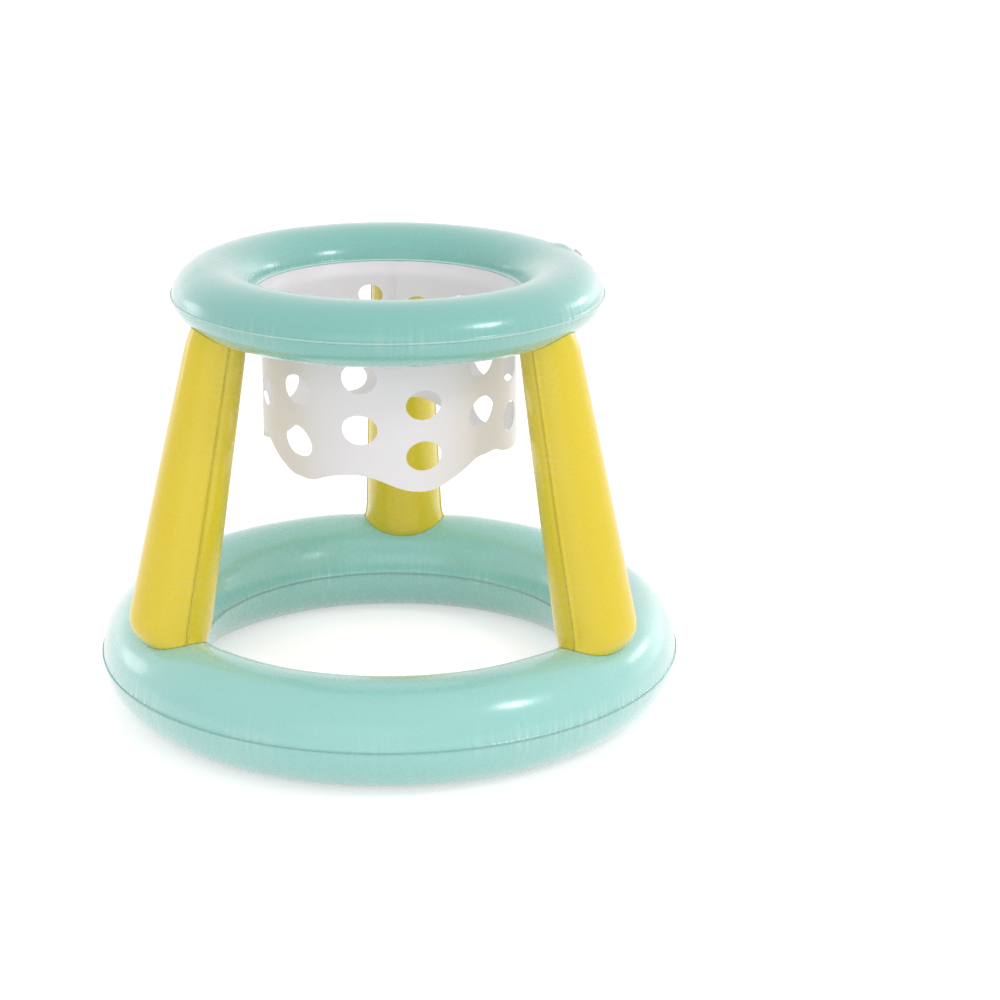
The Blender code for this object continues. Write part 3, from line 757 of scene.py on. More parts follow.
@dataclass
class Column:
    """One tilted, tapered inflatable column between the rings."""

    name: str
    azimuth: float
    base: InflatedRing
    hoop: InflatedRing
    foot_diameter: float = 0.0930
    head_diameter: float = 0.0655
    bulge: float = 0.0005
    head_offset: float = 0.0110
    foot_rounding: float = 0.036
    foot_outer_share: float = 0.57
    foot_inner_share: float = 0.86
    foot_side_share: float = 1.06
    foot_squaring_share: float = 0.18
    foot_draw_power: int = 3
    foot_flare_power: int = 5
    head_rounding: float = 0.024
    head_outer_share: float = 0.88
    head_inner_share: float = 0.97
    head_side_share: float = 1.02
    head_power: int = 2
    crease_share: float = 0.035
    rows: int = 72
    row_crowding: float = 0.75
    arc: int = 28
    patch_rings: int = 8
    patch_inset: float = 3 * SHEET
    halvings: int = 40

    def __post_init__(self) -> None:
        """Work out the column's axis from the rings that it joins."""
        base, hoop = self.base, self.hoop
        self.foot = around(self.azimuth, base.centre_radius, base.centre_height + base.half_height)
        head_radius = hoop.centre_radius + self.head_offset
        self.head = around(self.azimuth, head_radius, hoop.centre_height - hoop.half_height)
        self.length = (self.head - self.foot).length
        self.axis = (self.head - self.foot).normalized()
        self.place = frame_at(self.foot, around(self.azimuth - 90.0, 1.0, 0.0), self.axis)

    def radius(self, along: float) -> float:
        """Radius of the tube at a distance along its axis."""
        share = min(max(along / self.length, 0.0), 1.0)
        return lerp(self.foot_diameter, self.head_diameter, share) / 2 + self.bulge * math.sin(math.pi * share)

    def head_reach(self, y: float) -> float:
        """How far outwards a point of the section stands at the head, which is drawn in."""
        return y * (self.head_outer_share if y > 0 else self.head_inner_share)

    def foot_reach(self, y: float, radius: float) -> float:
        """How far outwards a point of the section stands at the foot, which is squared and drawn in.

        Args:
            y: its place outwards, on the plain section.
            radius: the section's radius.

        Returns:
            The distance.
        """
        share = min(abs(y) / radius, 1.0)
        squared = y * (1.0 + self.foot_squaring_share * (1.0 - share * share))
        return squared * (self.foot_outer_share if y > 0 else self.foot_inner_share)

    def end_point(self, x: float, y: float, at_foot: bool) -> tuple[float, float, float]:
        """Where a generator of the tube meets its ring.

        Args:
            x: its place across the tube, on the plain section.
            y: its place outwards, on the plain section.
            at_foot: whether it is the foot's end.

        Returns:
            Its place across, outwards and along the axis on the ring's sheet.
        """
        if at_foot:
            ring, side, span = self.base, Side.UPPER, (-self.base.half_height, self.foot_rounding)
            x, y = x * self.foot_side_share, self.foot_reach(y, self.radius(0.0))
        else:
            ring, side = self.hoop, Side.LOWER
            span = (self.length + self.hoop.half_height, self.length - self.head_rounding)
            x, y = x * self.head_side_share, self.head_reach(y)
        inside, outside = span
        for _ in range(self.halvings):
            middle = (inside + outside) / 2
            point = self.place @ Vector((x, y, middle))
            buried = (point.z - ring.top_at(point, side)) * side.value < SEAT
            inside, outside = (middle, outside) if buried else (inside, middle)
        return x, y, outside

    def generator(self, x_share: float, y_share: float, lip: float) -> list[Vector]:
        """Points of the sheet from the foot to the head.

        Args:
            x_share: its place across, as a share of the radius.
            y_share: its place outwards, as a share of the radius.
            lip: how far past the radius it lies, across, on the weld lip.

        Returns:
            The points in the scene's frame.
        """
        side = math.copysign(lip, x_share) if lip else 0.0
        foot, head = (
            self.end_point(radius * x_share + side, radius * y_share, at_foot)[2]
            for radius, at_foot in ((self.radius(0.0), True), (self.radius(self.length), False))
        )
        points = []
        for row in range(self.rows + 1):
            share = row / self.rows
            along = lerp(foot, head, lerp(share, 0.5 - 0.5 * math.cos(math.pi * share), self.row_crowding))
            radius = self.radius(along)
            x, y = radius * x_share + side, radius * y_share
            low = max(1.0 - (along - foot) / self.foot_rounding, 0.0)
            high = max(1.0 - (head - along) / self.head_rounding, 0.0)
            flare = (self.foot_side_share - 1.0) * low ** self.foot_flare_power
            spread = (self.head_side_share - 1.0) * high ** self.head_power
            drawn = (self.foot_reach(y, radius) - y) * low ** self.foot_draw_power
            tall = y + drawn + (self.head_reach(y) - y) * high ** self.head_power
            points.append(self.place @ Vector((x * (1.0 + flare + spread), tall, along)))
        return points

    def sheet_piece(self, side: Side) -> Piece:
        """One of the two sheets.

        Args:
            side: UPPER is the outer sheet and LOWER the inner one.

        Returns:
            The piece, which stands for the frame's node of the same name.
        """
        level = LEVEL / self.radius(0.0)
        crest = 1.0 + self.crease_share
        start = math.asin((level + self.crease_share) / crest)
        rows, welds = [self.generator(1.0, side.value * level, LIP)], [0.0]
        for step in range(self.arc + 1):
            angle = start + (math.pi - 2 * start) * step / self.arc
            across, out = math.cos(angle) / math.cos(start), crest * math.sin(angle) - self.crease_share
            rows.append(self.generator(across, side.value * out, 0.0))
            welds.append((min(angle, math.pi - angle) - start) * self.radius(self.length / 2))
        rows.append(self.generator(-1.0, side.value * level, LIP))
        welds.append(0.0)
        heights = [[(point - self.foot).dot(self.axis) for point in row] for row in rows]
        marks = {
            "seam_distance": [[weld] * (self.rows + 1) for weld in welds],
            "seam_place": [[Vector((0.0, 0.0, height)) for height in row] for row in heights],
        }
        kind = "outer" if side is Side.UPPER else "inner"
        name = f"{self.name}_column_{kind}_sheet"
        mesh = grid_mesh(name, rows, False, side is Side.UPPER, marks)
        return Piece(name + "_film", mesh, ROOT_BODY, "yellow_vinyl", (name,))

    def lip_line(self, side: float) -> LipLine:
        """The line up the middle of a weld lip.

        Args:
            side: 1 or -1, across the column.

        Returns:
            The line.
        """
        turn = self.place.to_3x3()
        way, up = turn @ Vector((side, 0.0, 0.0)), turn @ Vector((0.0, 1.0, 0.0))
        return [(place, way, up) for place in self.generator(side, 0.0, LIP / 2)[1:-1]]

    def patch_piece(self, at_foot: bool) -> Piece:
        """The patch that is welded between the column's end and its ring.

        Args:
            at_foot: whether it is the foot's patch.

        Returns:
            The piece, which stands for the frame's node of the same name.
        """
        radius = self.radius(0.0 if at_foot else self.length)
        sides = 2 * self.arc
        rows = []
        for ring in range(1, self.patch_rings + 1):
            reach = (radius - self.patch_inset) * ring / self.patch_rings
            turns = (2 * math.pi * step / sides for step in range(sides + 1))
            spots = ((reach * math.cos(turn), reach * math.sin(turn)) for turn in turns)
            rows.append([self.place @ Vector(self.end_point(x, y, at_foot)) for x, y in spots])
        kind = "foot" if at_foot else "head"
        name = f"{self.name}_column_{kind}_patch"
        mesh = grid_mesh(name, rows, False, not at_foot)
        with worked(mesh) as work:
            bmesh.ops.remove_doubles(work, verts=work.verts, dist=SHEET / 10)
            rim = [edge for edge in work.edges if edge.is_boundary and self.near_axis(edge, radius / 4)]
            bmesh.ops.holes_fill(work, edges=rim, sides=0)
        return Piece(name + "_film", mesh, ROOT_BODY, "yellow_vinyl", (name,))

    def near_axis(self, edge: bmesh.types.BMEdge, reach: float) -> bool:
        """Whether an edge lies within a reach of the column's axis."""
        local = self.place.inverted() @ edge.verts[0].co
        return math.hypot(local.x, local.y) < reach


@dataclass
class WeldRibs:
    """The fine ribs that the welding tool presses across the lips."""

    name: str
    slot: str
    lines: list[LipLine]
    pitch: float = RIB_PITCH
    size: Triple = (0.0011, 0.0008, 0.00114)

    def piece(self, film: bpy.types.Material) -> Piece:
        """Set a rib at every pitch of every line.

        Args:
            film: the material of the sheets that they are pressed in.

        Returns:
            The piece.
        """
        points, edges = [], []
        for line in self.lines:
            edges.extend((index, index + 1) for index in range(len(points), len(points) + len(line) - 1))
            points.extend(line)
        places, outs, ups = (list(column) for column in zip(*points))
        guide = bpy.data.meshes.new(self.name + "_guide")
        guide.from_pydata(places, edges, [])
        mark_points(guide, "lip_out", outs)
        mark_points(guide, "lip_up", ups)
        tree = ShapeTree("weld_ribs")
        pitch = tree.input("Rib Pitch", "NodeSocketFloat", self.pitch)
        size = tree.input("Rib Size", "NodeSocketVector", self.size)
        curve = tree.add("GeometryNodeMeshToCurve", {"Mesh": tree.shape}).outputs["Curve"]
        even = tree.add("GeometryNodeResampleCurve", {"Curve": curve, "Length": pitch}, mode="LENGTH")
        turn = tree.add(
            "FunctionNodeAxesToRotation",
            {"Primary Axis": tree.attribute("lip_out"), "Secondary Axis": tree.attribute("lip_up")},
            primary_axis="X", secondary_axis="Z",
        )
        rib = tree.add("GeometryNodeMeshCube", {"Size": size}).outputs["Mesh"]
        ribs = tree.add(
            "GeometryNodeInstanceOnPoints",
            {"Points": even.outputs["Curve"], "Instance": rib, "Rotation": turn.outputs["Rotation"]},
        )
        tree.close(ribs.outputs["Instances"], film)
        return Piece(self.name, tree.work(guide), ROOT_BODY, self.slot)


@dataclass
class Net:
    """The hung net: a strip of perforated vinyl, closed by an upright overlapped weld."""

    hoop: InflatedRing
    diameter: float = 0.286
    depth: float = 0.179
    scallop_depth: float = 0.021
    flare_height: float = 0.022
    hole_width: float = 0.040
    hole_height: float = 0.033
    hole_sides: int = 44
    row_spacing: float = 0.0573
    low_row: float = 0.0301
    high_row: float = 0.0616
    small_hole: float = 0.029
    small_row: float = 0.1326
    small_azimuths: tuple[float, ...] = (56.8, 102.3)
    overlap: float = 0.008
    flange: float = 0.003
    seam_azimuth: float = 92.0
    hole_azimuth: float = 108.7
    hole_turns: tuple[float, ...] = (3.8, 11.0, 7.0, 2.1, 0.5, 1.8, 0.2, 0.8, -4.0, 0.0, -7.5, 0.0)
    hangs: tuple[tuple[float, float], ...] = (
        (18.0, -8.0), (41.0, -15.0), (68.0, 0.0), (84.0, 4.0), (112.0, 10.5), (147.0, -14.0), (176.0, 10.0),
        (200.0, 14.0), (217.0, 8.2), (228.0, 4.6), (240.0, -1.4), (258.0, -5.6), (273.0, -4.7), (290.0, -3.4),
        (306.0, -1.8), (320.0, 4.4), (333.0, 12.4), (346.0, 16.0), (358.0, 14.0),
    )
    sag_reach: float = 0.060
    lobes: int = 6
    spacing: float = 0.0045
    punch_depth: float = 0.01
    flat_area: float = 0.135
    sharp_angle: float = 50.0
    fifth_wave: float = 0.0009
    fifth_wave_start: float = 0.8
    fourth_wave: float = 0.0012

    def __post_init__(self) -> None:
        """Work out the wall's length round the hoop, and where the strip turns out under its lip."""
        self.girth = math.pi * self.diameter
        self.weld_rise = self.depth - GAP / 2 - SHEET - GAP

    def azimuth(self, run: float) -> float:
        """Azimuth in degrees at a distance along the strip."""
        return self.seam_azimuth + 360.0 * run / self.girth

    def run(self, azimuth: float) -> float:
        """Distance along the strip of an azimuth in degrees."""
        return self.girth * ((azimuth - self.seam_azimuth) % 360.0) / 360.0

    def edge_height(self, run: float) -> float:
        """Height of the scalloped edge over its mean, at a distance along the strip."""
        turn = math.radians(self.lobes * (self.azimuth(run) - self.hole_azimuth))
        return -self.scallop_depth / 2 * math.cos(turn)

    def hole_places(self) -> list[tuple[Vector, Vector]]:
        """Place and half size of each hole in the flat strip.

        Returns:
            The pairs.
        """
        holes = []
        for index, turn in enumerate(self.hole_turns):
            run = self.run(self.hole_azimuth + 180.0 / self.lobes * index + turn)
            first = self.low_row if index % 2 == 0 else self.high_row
            half = Vector((self.hole_width / 2, self.hole_height / 2, 1.0))
            holes.extend((Vector((run, first + row * self.row_spacing, 0.0)), half) for row in range(2))
        half = Vector((self.small_hole / 2, self.small_hole / 2, 1.0))
        runs = (self.run(azimuth) for azimuth in self.small_azimuths)
        holes.extend((Vector((run, self.small_row, 0.0)), half) for run in runs)
        return holes

    def hang(self, azimuth: float) -> float:
        """How far the limp film rises at an azimuth.

        Args:
            azimuth: in degrees.

        Returns:
            The rise, which is below zero where the film hangs lower.
        """
        first, last = self.hangs[0], self.hangs[-1]
        stops = ((last[0] - 360.0, last[1]), *self.hangs, (first[0] + 360.0, first[1]))
        azimuth = (azimuth - stops[0][0]) % 360.0 + stops[0][0]
        for (low, low_rise), (high, high_rise) in zip(stops, stops[1:]):
            if azimuth <= high:
                return lerp(low_rise, high_rise, smooth_step(low, high, azimuth)) / 1000.0
        return 0.0

    def wall_point(self, flat: Vector) -> Vector:
        """The hung place of a point of the flat strip.

        Args:
            flat: its distance along the strip, its height, and how far it lies in front of it.

        Returns:
            The point in the scene's frame.
        """
        run, rise, lift = flat
        azimuth = self.azimuth(run)
        lift += LEVEL * smooth_step(self.girth - 2 * self.overlap, self.girth - self.overlap, run)
        lip_end = self.hoop.centre_radius - self.hoop.half_width - self.hoop.inner_lip - SHEET
        top = self.hoop.centre_height - self.depth + self.weld_rise
        if rise > self.weld_rise - SHEET / 10:
            return around(azimuth, lip_end + lift + rise - self.weld_rise, top - SHEET - lift)
        height = top - self.weld_rise + rise
        share = smooth_step(top - self.flare_height, top, height)
        held = smooth_step(self.weld_rise - self.sag_reach, self.weld_rise, rise)
        height += self.hang(azimuth) * (1.0 - held)
        turn = math.radians(azimuth)
        wave = self.fifth_wave * math.sin(turn * 5.0 + self.fifth_wave_start)
        wave += self.fourth_wave * math.cos(turn * 4)
        wave *= 1.0 - min(max(rise / self.depth, 0.0), 1.0)
        return around(azimuth, lerp(self.diameter / 2, lip_end, share * share) + lift + wave, height)

    def flat_strip(self) -> bpy.types.Mesh:
        """The uncut strip, as a flat closed solid with its face up at height zero.

        Returns:
            Its mesh.
        """
        count = round((self.girth + self.overlap) / self.spacing)
        levels = round((self.depth + self.scallop_depth) / self.spacing)
        columns = []
        for step in range(count + 1):
            run = lerp(-self.overlap / 2, self.girth + self.overlap / 2, step / count)
            rises = [lerp(self.edge_height(run), self.weld_rise, level / levels) for level in range(levels + 1)]
            rises.append(self.weld_rise + self.flange)
            columns.append([Vector((run, rise, 0.0)) for rise in rises])
        mesh = grid_mesh("net_strip", columns, False, False)
        with worked(mesh) as work:
            bmesh.ops.solidify(work, geom=work.faces[:], thickness=SHEET)
            bmesh.ops.recalc_face_normals(work, faces=work.faces)
            face_height = max(vert.co.z for vert in work.verts)
            bmesh.ops.translate(work, verts=work.verts, vec=(0.0, 0.0, -face_height))
        return mesh

    def punch(self, strip: bpy.types.Mesh, film: bpy.types.Material) -> bpy.types.Mesh:
        """Punch the holes through the flat strip.

        Args:
            strip: the uncut strip.
            film: its material.

        Returns:
            The punched strip.
        """
        holes = self.hole_places()
        marks = bpy.data.meshes.new("hole_places")
        marks.from_pydata([place for place, _ in holes], [], [])
        mark_points(marks, "hole_size", [half for _, half in holes])
        carrier = linked("hole_places", marks)
        tree = ShapeTree("net_perforations")
        places = tree.input("Hole Places", "NodeSocketObject", carrier)
        sides = tree.input("Hole Sides", "NodeSocketInt", self.hole_sides)
        depth = tree.input("Punch Depth", "NodeSocketFloat", self.punch_depth)
        points = tree.add("GeometryNodeObjectInfo", {"Object": places}).outputs["Geometry"]
        tool = tree.add("GeometryNodeMeshCylinder", {"Vertices": sides, "Radius": 1.0, "Depth": depth})
        tools = tree.add(
            "GeometryNodeInstanceOnPoints",
            {"Points": points, "Instance": tool.outputs["Mesh"], "Scale": tree.attribute("hole_size")},
        )
        solid = tree.add("GeometryNodeRealizeInstances", {"Geometry": tools.outputs["Instances"]})
        cut = tree.add(
            "GeometryNodeMeshBoolean", {"Mesh 1": tree.shape, "Mesh 2": solid.outputs["Geometry"]},
            operation="DIFFERENCE", solver="EXACT",
        )
        tree.close(cut.outputs["Mesh"], film)
        punched = tree.work(strip)
        bpy.data.objects.remove(carrier)
        return punched

    def piece(self, film: bpy.types.Material) -> Piece:
        """The whole net.

        Args:
            film: its material.

        Returns:
            The piece, which stands for the frame's net node.
        """
        mesh = self.punch(self.flat_strip(), film)
        runs = [vert.co.x for vert in mesh.vertices]
        mark_points(mesh, "seam_distance", [min(abs(run), abs(self.girth - run)) for run in runs])
        for vert in mesh.vertices:
            vert.co = self.wall_point(vert.co)
        mesh.shade_smooth()
        mesh.set_sharp_from_angle(angle=math.radians(self.sharp_angle))
        return Piece("net_film", mesh, ROOT_BODY, "white_net_vinyl", ("net_sheet",))


@dataclass
class Valve:
    """One inflation valve: flange and collar, sliding stem, plug on its strap, and inner flap."""

    name: str
    flange_radius: float = 0.014
    flange_thickness: float = 0.0008
    collar_radius: float = 0.0068
    collar_rise: float = 0.0024
    collar_depth: float = 0.006
    stem_radius: float = 0.0047
    stem_bore: float = 0.0032
    clearance: float = 0.0001
    rim_radius: float = 0.0063
    rim_thickness: float = 0.0012
    stem_length: float = 0.0165
    ear_half: float = 0.002
    cap_radius: float = 0.0062
    cap_thickness: float = 0.0016
    dish_share: float = 0.62
    dish_floor_share: float = 0.5
    pin_radius: float = 0.0029
    tip_radius: float = 0.0020
    pin_length: float = 0.0040
    strap_width: float = 0.0036
    strap_reach: float = 0.0095
    flap_radius: float = 0.0040
    flap_thickness: float = 0.0006
    flap_reach: float = 0.0044
    tab_half: float = 0.001
    sharp_angle: float = 35.0
    sides: int = 40

    def __post_init__(self) -> None:
        """Find the valve's placement from its joints in the frame."""
        joints = {joint["name"]: joint for joint in frame["record"]["behaviour"]["joints"]}
        slide = joints[self.name + "_stem_slide"]
        hinge = joints[self.name + "_plug_hinge"]
        up = Vector(slide["axis"]).normalized()
        across = Vector(hinge["axis"]).normalized()
        along = across.cross(up)
        self.rim_low = self.collar_rise + GAP
        self.rim_top = self.rim_low + self.rim_thickness
        self.hinge_height = self.rim_top + GAP + self.cap_thickness / 2
        origin = Vector(hinge["pos_m"]) - along * self.strap_reach - up * self.hinge_height
        self.place = frame_at(origin, along, up)

    def lathe(self, work: bmesh.types.BMesh, profile: list[tuple[float, float]]) -> None:
        """Turn a closed profile about the valve's axis.

        Args:
            work: the mesh that takes the solid.
            profile: its points as radius and height over the ring's sheet, round the section.
        """
        rows = []
        for step in range(self.sides):
            angle = 2 * math.pi * step / self.sides
            cosine, sine = math.cos(angle), math.sin(angle)
            spots = (Vector((radius * cosine, radius * sine, height)) for radius, height in profile)
            rows.append([work.verts.new(self.place @ spot) for spot in spots])
        for low, high in zip(rows, rows[1:] + rows[:1]):
            for index in range(len(profile)):
                after = (index + 1) % len(profile)
                work.faces.new((low[index], high[index], high[after], low[after]))
        bmesh.ops.remove_doubles(work, verts=work.verts, dist=SHEET / 100)
        bmesh.ops.recalc_face_normals(work, faces=work.faces)

    def bar(self, work: bmesh.types.BMesh, low: Triple, high: Triple) -> None:
        """Add a box between two corners in the valve's frame."""
        low, high = Vector(low), Vector(high)
        shape = Matrix.Translation((low + high) / 2) @ Matrix.Diagonal((*(high - low), 1.0))
        bmesh.ops.create_cube(work, size=1.0, matrix=self.place @ shape)

    @contextmanager
    def shaped(self, kind: str, form: str, body: str) -> Iterator[tuple[bmesh.types.BMesh, Piece]]:
        """A part of the valve in the making.

        Args:
            kind: its node's name, after the valve's.
            form: what its piece is called, after that.
            body: the body that it rides on.

        Returns:
            The mesh to fill, and the piece that it becomes.
        """
        node = f"{self.name}_valve_{kind}"
        mesh = bpy.data.meshes.new(node)
        with worked(mesh) as work:
            yield work, Piece(f"{node}_{form}", mesh, body, "clear_valve_vinyl", (node,))
        mesh.shade_smooth()
        mesh.set_sharp_from_angle(angle=math.radians(self.sharp_angle))

    def flange(self) -> Piece:
        """The flange, which is welded to the ring, with its collar.

        Returns:
            The piece.
        """
        bore, collar, edge = self.stem_radius + self.clearance, self.collar_radius, self.flange_radius
        foot, top, rise = GAP, GAP + self.flange_thickness, self.collar_rise
        with self.shaped("flange", "disc", ROOT_BODY) as (work, piece):
            self.lathe(work, [
                (bore, -self.collar_depth), (collar, -self.collar_depth), (collar, foot),
                (edge - SHEET, foot), (edge, foot + SHEET), (edge - SHEET, top - SHEET),
                (edge - 4 * SHEET, top), (collar + 2 * SHEET, top), (collar, top + 2 * SHEET),
                (collar, rise - SHEET), (collar - SHEET, rise), (bore, rise),
            ])
        return piece

    def stem(self) -> Piece:
        """The stem tube, which slides in the collar, with the ear of the plug's strap.

        Returns:
            The piece.
        """
        low, rim, top = self.rim_low - self.stem_length, self.rim_low, self.rim_top
        inner, ear = self.rim_radius - 3 * SHEET, self.strap_reach + self.cap_thickness / 2
        with self.shaped("stem", "tube", self.name + "_stem") as (work, piece):
            self.lathe(work, [
                (self.stem_bore, low), (self.stem_radius, low), (self.stem_radius, rim),
                (self.rim_radius - SHEET, rim), (self.rim_radius, rim + SHEET),
                (self.rim_radius, top - SHEET), (self.rim_radius - SHEET, top), (self.stem_bore, top),
            ])
            self.bar(work, (inner, -self.ear_half, rim + SHEET / 4), (ear, self.ear_half, top - SHEET / 4))
        return piece

    def plug(self) -> Piece:
        """The plug, with its strap to the stem's ear.

        Returns:
            The piece.
        """
        low, cap, half = self.rim_top + GAP, self.cap_radius, self.strap_width / 2
        top, tip = low + self.cap_thickness, low - GAP - self.pin_length
        knuckle = self.place @ Matrix.Translation((self.strap_reach, 0.0, self.hinge_height))
        knuckle = knuckle @ Matrix.Rotation(math.pi / 2, 4, "X")
        radius = self.cap_thickness / 2
        with self.shaped("plug", "cap", self.name + "_plug") as (work, piece):
            self.lathe(work, [
                (0.0, tip), (self.tip_radius, tip), (self.pin_radius, low - GAP), (self.pin_radius, low),
                (cap - SHEET, low), (cap, low + SHEET), (cap, top - SHEET), (cap - SHEET, top),
                (cap * self.dish_share, top), (cap * self.dish_floor_share, top - SHEET), (0.0, top - SHEET),
            ])
            self.bar(work, (cap - 2 * SHEET, -half, low + GAP), (self.strap_reach, half, top - GAP))
            bmesh.ops.create_cone(
                work, cap_ends=True, segments=16, radius1=radius, radius2=radius, depth=self.strap_width,
                matrix=knuckle,
            )
        return piece

    def flap(self) -> Piece:
        """The check flap on the stem's inner end.

        Returns:
            The piece.
        """
        top = self.rim_low - self.stem_length - GAP
        low, quarter, half = top - self.flap_thickness, self.flap_thickness / 4, self.tab_half
        with self.shaped("flap", "disc", self.name + "_flap") as (work, piece):
            self.lathe(work, [(0.0, low), (self.flap_radius, low), (self.flap_radius, top), (0.0, top)])
            inner = -self.flap_radius + 2 * SHEET
            self.bar(work, (-self.flap_reach, -half, low + quarter), (inner, half, top - quarter))
        return piece


@dataclass(frozen=True)
class Glow:
    """A soft glow low in the world, which the film mirrors."""

    towards: Triple
    strength: float
    narrowness: float


@dataclass(frozen=True)
class Lamp:
    """A soft oval lamp that faces the toy."""

    name: str
    place: Triple
    size: tuple[float, float]
    watts: float
    aim: Triple = (0.0, 0.0, 0.25)

    def hang(self) -> None:
        """Put the lamp in the scene."""
        data = bpy.data.lights.new(self.name, "AREA")
        data.shape = "ELLIPSE"
        data.size, data.size_y = self.size
        data.energy = self.watts
        thing = linked(self.name, data)
        thing.location = self.place
        thing.rotation_mode = "QUATERNION"
        thing.rotation_quaternion = (Vector(self.aim) - Vector(self.place)).to_track_quat("-Z", "Y")


@dataclass
class Studio:
    """Camera, soft lamps, white world and the floor that takes the contact shadow."""

    camera_place: Triple = (0.17393, -2.66082, 1.1108)
    camera_forward: Triple = (-0.01675, 0.949180, -0.314282)
    camera_roll: float = 0.008
    camera_reach: tuple[float, float] = (0.05, 60.0)
    focal_pixels: float = 2432.1
    world_light: float = 0.90
    glows: tuple[Glow, ...] = (
        Glow((0.66, 0.75, 0.0), 1.3, 14.0), Glow((-0.66, 0.75, 0.0), 0.6, 14.0),
        Glow((0.90, -0.30, 0.30), 0.12, 1.5),
    )
    lamps: tuple[Lamp, ...] = (
        Lamp("key", (2.03, -1.22, 2.10), (0.65, 0.48), 10.5),
        Lamp("right", (2.34, 1.64, 1.18), (0.6, 0.4), 3.0),
        Lamp("left", (-2.69, 1.26, 0.67), (0.9, 0.9), 3.0),
        Lamp("front", (-0.5, -3.2, 1.0), (3.0, 2.0), 5.0),
    )
    floor_reach: float = 16.0
    floor_drop: float = 0.0005
    floor_tone: Triple = (0.92, 0.92, 0.92)
    seen_floor_tone: Triple = (0.77, 0.70, 0.70)
    seen_floor_glow: float = 0.52

    def camera(self) -> None:
        """Set the camera where the photograph was taken from."""
        data = bpy.data.cameras.new("camera")
        data.sensor_width = 36.0
        data.lens = self.focal_pixels / IMAGE_SIDE * data.sensor_width
        data.clip_start, data.clip_end = self.camera_reach
        thing = linked("camera", data)
        forward = Vector(self.camera_forward).normalized()
        right = forward.cross(UP).normalized()
        up = right.cross(forward)
        cosine, sine = math.cos(self.camera_roll), math.sin(self.camera_roll)
        right, up = right * cosine + up * sine, up * cosine - right * sine
        turn = Matrix((right, up, -forward)).transposed().to_4x4()
        thing.matrix_world = Matrix.Translation(self.camera_place) @ turn
        bpy.context.scene.camera = thing

    @staticmethod
    def seen_directly(sheet: NodeSheet, kinds: tuple[str, ...]) -> Socket:
        """A mask of 1 for the camera's rays and for the other kinds of ray that are named.

        Args:
            sheet: the nodes.
            kinds: the other kinds of ray.

        Returns:
            The mask.
        """
        path = sheet.add("ShaderNodeLightPath")
        mask = path.outputs["Is Camera Ray"]
        for kind in kinds:
            mask = sheet.math("MAXIMUM", mask, path.outputs[kind])
        return mask

    def world(self) -> None:
        """A white world, dimmer as a light than as a background, with soft glows at its sides."""
        world = bpy.data.worlds.new("studio")
        bpy.context.scene.world = world
        world.use_nodes = True
        sheet = NodeSheet(world.node_tree)
        seen = self.seen_directly(sheet, ("Is Transmission Ray",))
        light = sheet.math("MULTIPLY_ADD", seen, 1.0 - self.world_light)
        light.node.inputs[2].default_value = self.world_light
        way = sheet.add("ShaderNodeTexCoord").outputs["Generated"]
        for glow in self.glows:
            ends = {0: way, 1: Vector(glow.towards).normalized()}
            facing = sheet.add("ShaderNodeVectorMath", ends, operation="DOT_PRODUCT").outputs["Value"]
            lobe = sheet.math("POWER", sheet.math("MAXIMUM", facing, 0.0), glow.narrowness)
            light = sheet.math("ADD", light, sheet.math("MULTIPLY", lobe, glow.strength))
        sheet.fill(world.node_tree.nodes["Background"], {"Color": WHITE, "Strength": light})

    def floor(self) -> None:
        """A wide white floor."""
        mesh = bpy.data.meshes.new("floor")
        with worked(mesh) as work:
            bmesh.ops.create_grid(work, x_segments=1, y_segments=1, size=self.floor_reach)
        thing = linked("floor", mesh)
        thing.location = (0.0, 0.0, -self.floor_drop)
        material = bpy.data.materials.new("floor_white")
        material.use_nodes = True
        sheet = NodeSheet(material.node_tree)
        nodes = material.node_tree.nodes
        nodes.remove(nodes["Principled BSDF"])
        plain, soft = (
            sheet.add("ShaderNodeBsdfDiffuse", {"Color": (*tone, 1.0)})
            for tone in (self.floor_tone, self.seen_floor_tone)
        )
        glow = sheet.add("ShaderNodeEmission", {"Color": WHITE, "Strength": self.seen_floor_glow})
        both = sheet.add("ShaderNodeAddShader", {0: soft.outputs[0], 1: glow.outputs[0]})
        seen = self.seen_directly(sheet, ("Is Glossy Ray", "Is Transmission Ray"))
        mix = sheet.add("ShaderNodeMixShader", {0: seen, 1: plain.outputs[0], 2: both.outputs[0]})
        sheet.fill(nodes["Material Output"], {"Surface": mix.outputs[0]})
        mesh.materials.append(material)

    def build(self) -> None:
        """Set up the whole studio."""
        self.camera()
        self.world()
        self.floor()
        for lamp in self.lamps:
            lamp.hang()
        bpy.context.scene.view_settings.view_transform = "Standard"


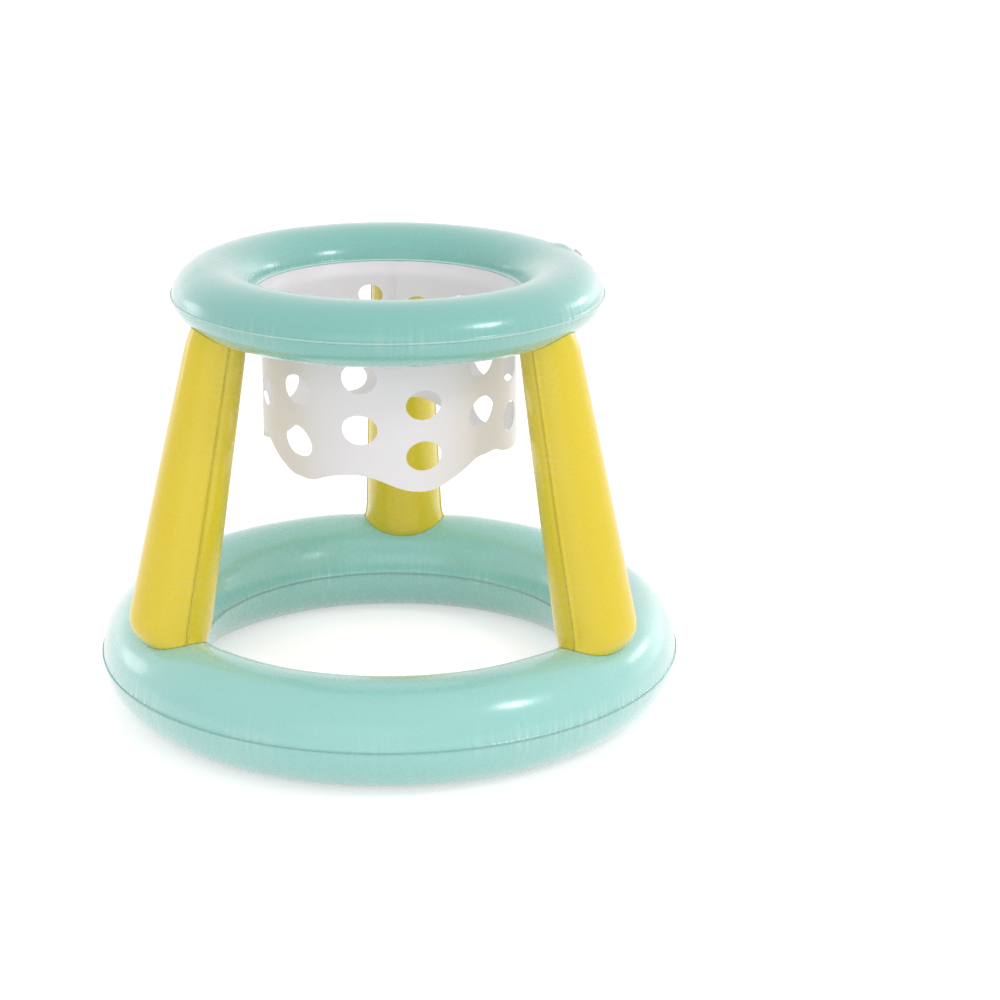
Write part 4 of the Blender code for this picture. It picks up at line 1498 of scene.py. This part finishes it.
def make_rings(valves: dict[str, Valve]) -> tuple[InflatedRing, InflatedRing]:
    """The two rings.

    Args:
        valves: the valves by the name of their ring.

    Returns:
        The base ring and the hoop ring.
    """
    azimuths = COLUMN_AZIMUTHS.values()
    base = InflatedRing(
        "base", outer_diameter=0.670, width=0.116, height=0.1184, seam_point=0.0025, centre_height=0.058919,
        inner_lip=LIP, steps=480, rows=40, pucker_depth=0.0004, seed=3.1, dented_side=Side.UPPER,
        dents=[Dent(azimuth, 0.0, 0.0026) for azimuth in azimuths], seats=[ValveSeat(valves["base"].place)],
    )
    hoop = InflatedRing(
        "hoop", outer_diameter=0.4866, width=0.0886, height=0.0696, seam_point=0.002, centre_height=0.4764,
        inner_lip=0.0034, steps=400, rows=36, pucker_depth=0.0003, seed=7.7, dented_side=Side.LOWER,
        dents=[Dent(azimuth, 0.009, 0.0014, 0.046, 0.036) for azimuth in azimuths],
        seats=[ValveSeat(valves["hoop"].place)],
    )
    return base, hoop


def main() -> None:
    """Build the studio and every piece in turn."""
    logging.basicConfig(level=logging.INFO, format="%(name)s %(message)s")
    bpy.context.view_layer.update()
    Studio().build()
    # The rings get a lit and a shaded copy of one aqua vinyl: painted light on the base, painted shade on the
    # hoop.
    base_aqua, hoop_aqua, yellow, white, clear = (
        finish.material() for finish in (BASE_AQUA_PAINTED_LIGHT, HOOP_AQUA_PAINTED_SHADE, YELLOW, NET_WHITE, CLEAR)
    )
    valves = {name: Valve(name) for name in ("base", "hoop")}
    base, hoop = make_rings(valves)
    for ring, aqua, lips in ((base, base_aqua, (True, False)), (hoop, hoop_aqua, (True,))):
        for side in Side:
            ring.sheet_piece(side).place(aqua, SHEET)
        ribs = WeldRibs(ring.name + "_ring_weld_ribs", "aqua_vinyl", [ring.lip_line(outer) for outer in lips])
        ribs.piece(aqua).place(aqua)
    lines = []
    for name, azimuth in COLUMN_AZIMUTHS.items():
        column = Column(name, azimuth, base, hoop)
        for side in Side:
            column.sheet_piece(side).place(yellow, SHEET)
        for at_foot in (True, False):
            column.patch_piece(at_foot).place(yellow, SHEET)
        lines.extend(column.lip_line(edge) for edge in (1.0, -1.0))
    WeldRibs("column_weld_ribs", "yellow_vinyl", lines).piece(yellow).place(yellow)
    net = Net(hoop)
    net.piece(white).place(white)
    for valve in valves.values():
        for piece in (valve.flange(), valve.stem(), valve.plug(), valve.flap()):
            piece.place(clear)


if __name__ == "__main__":
    main()
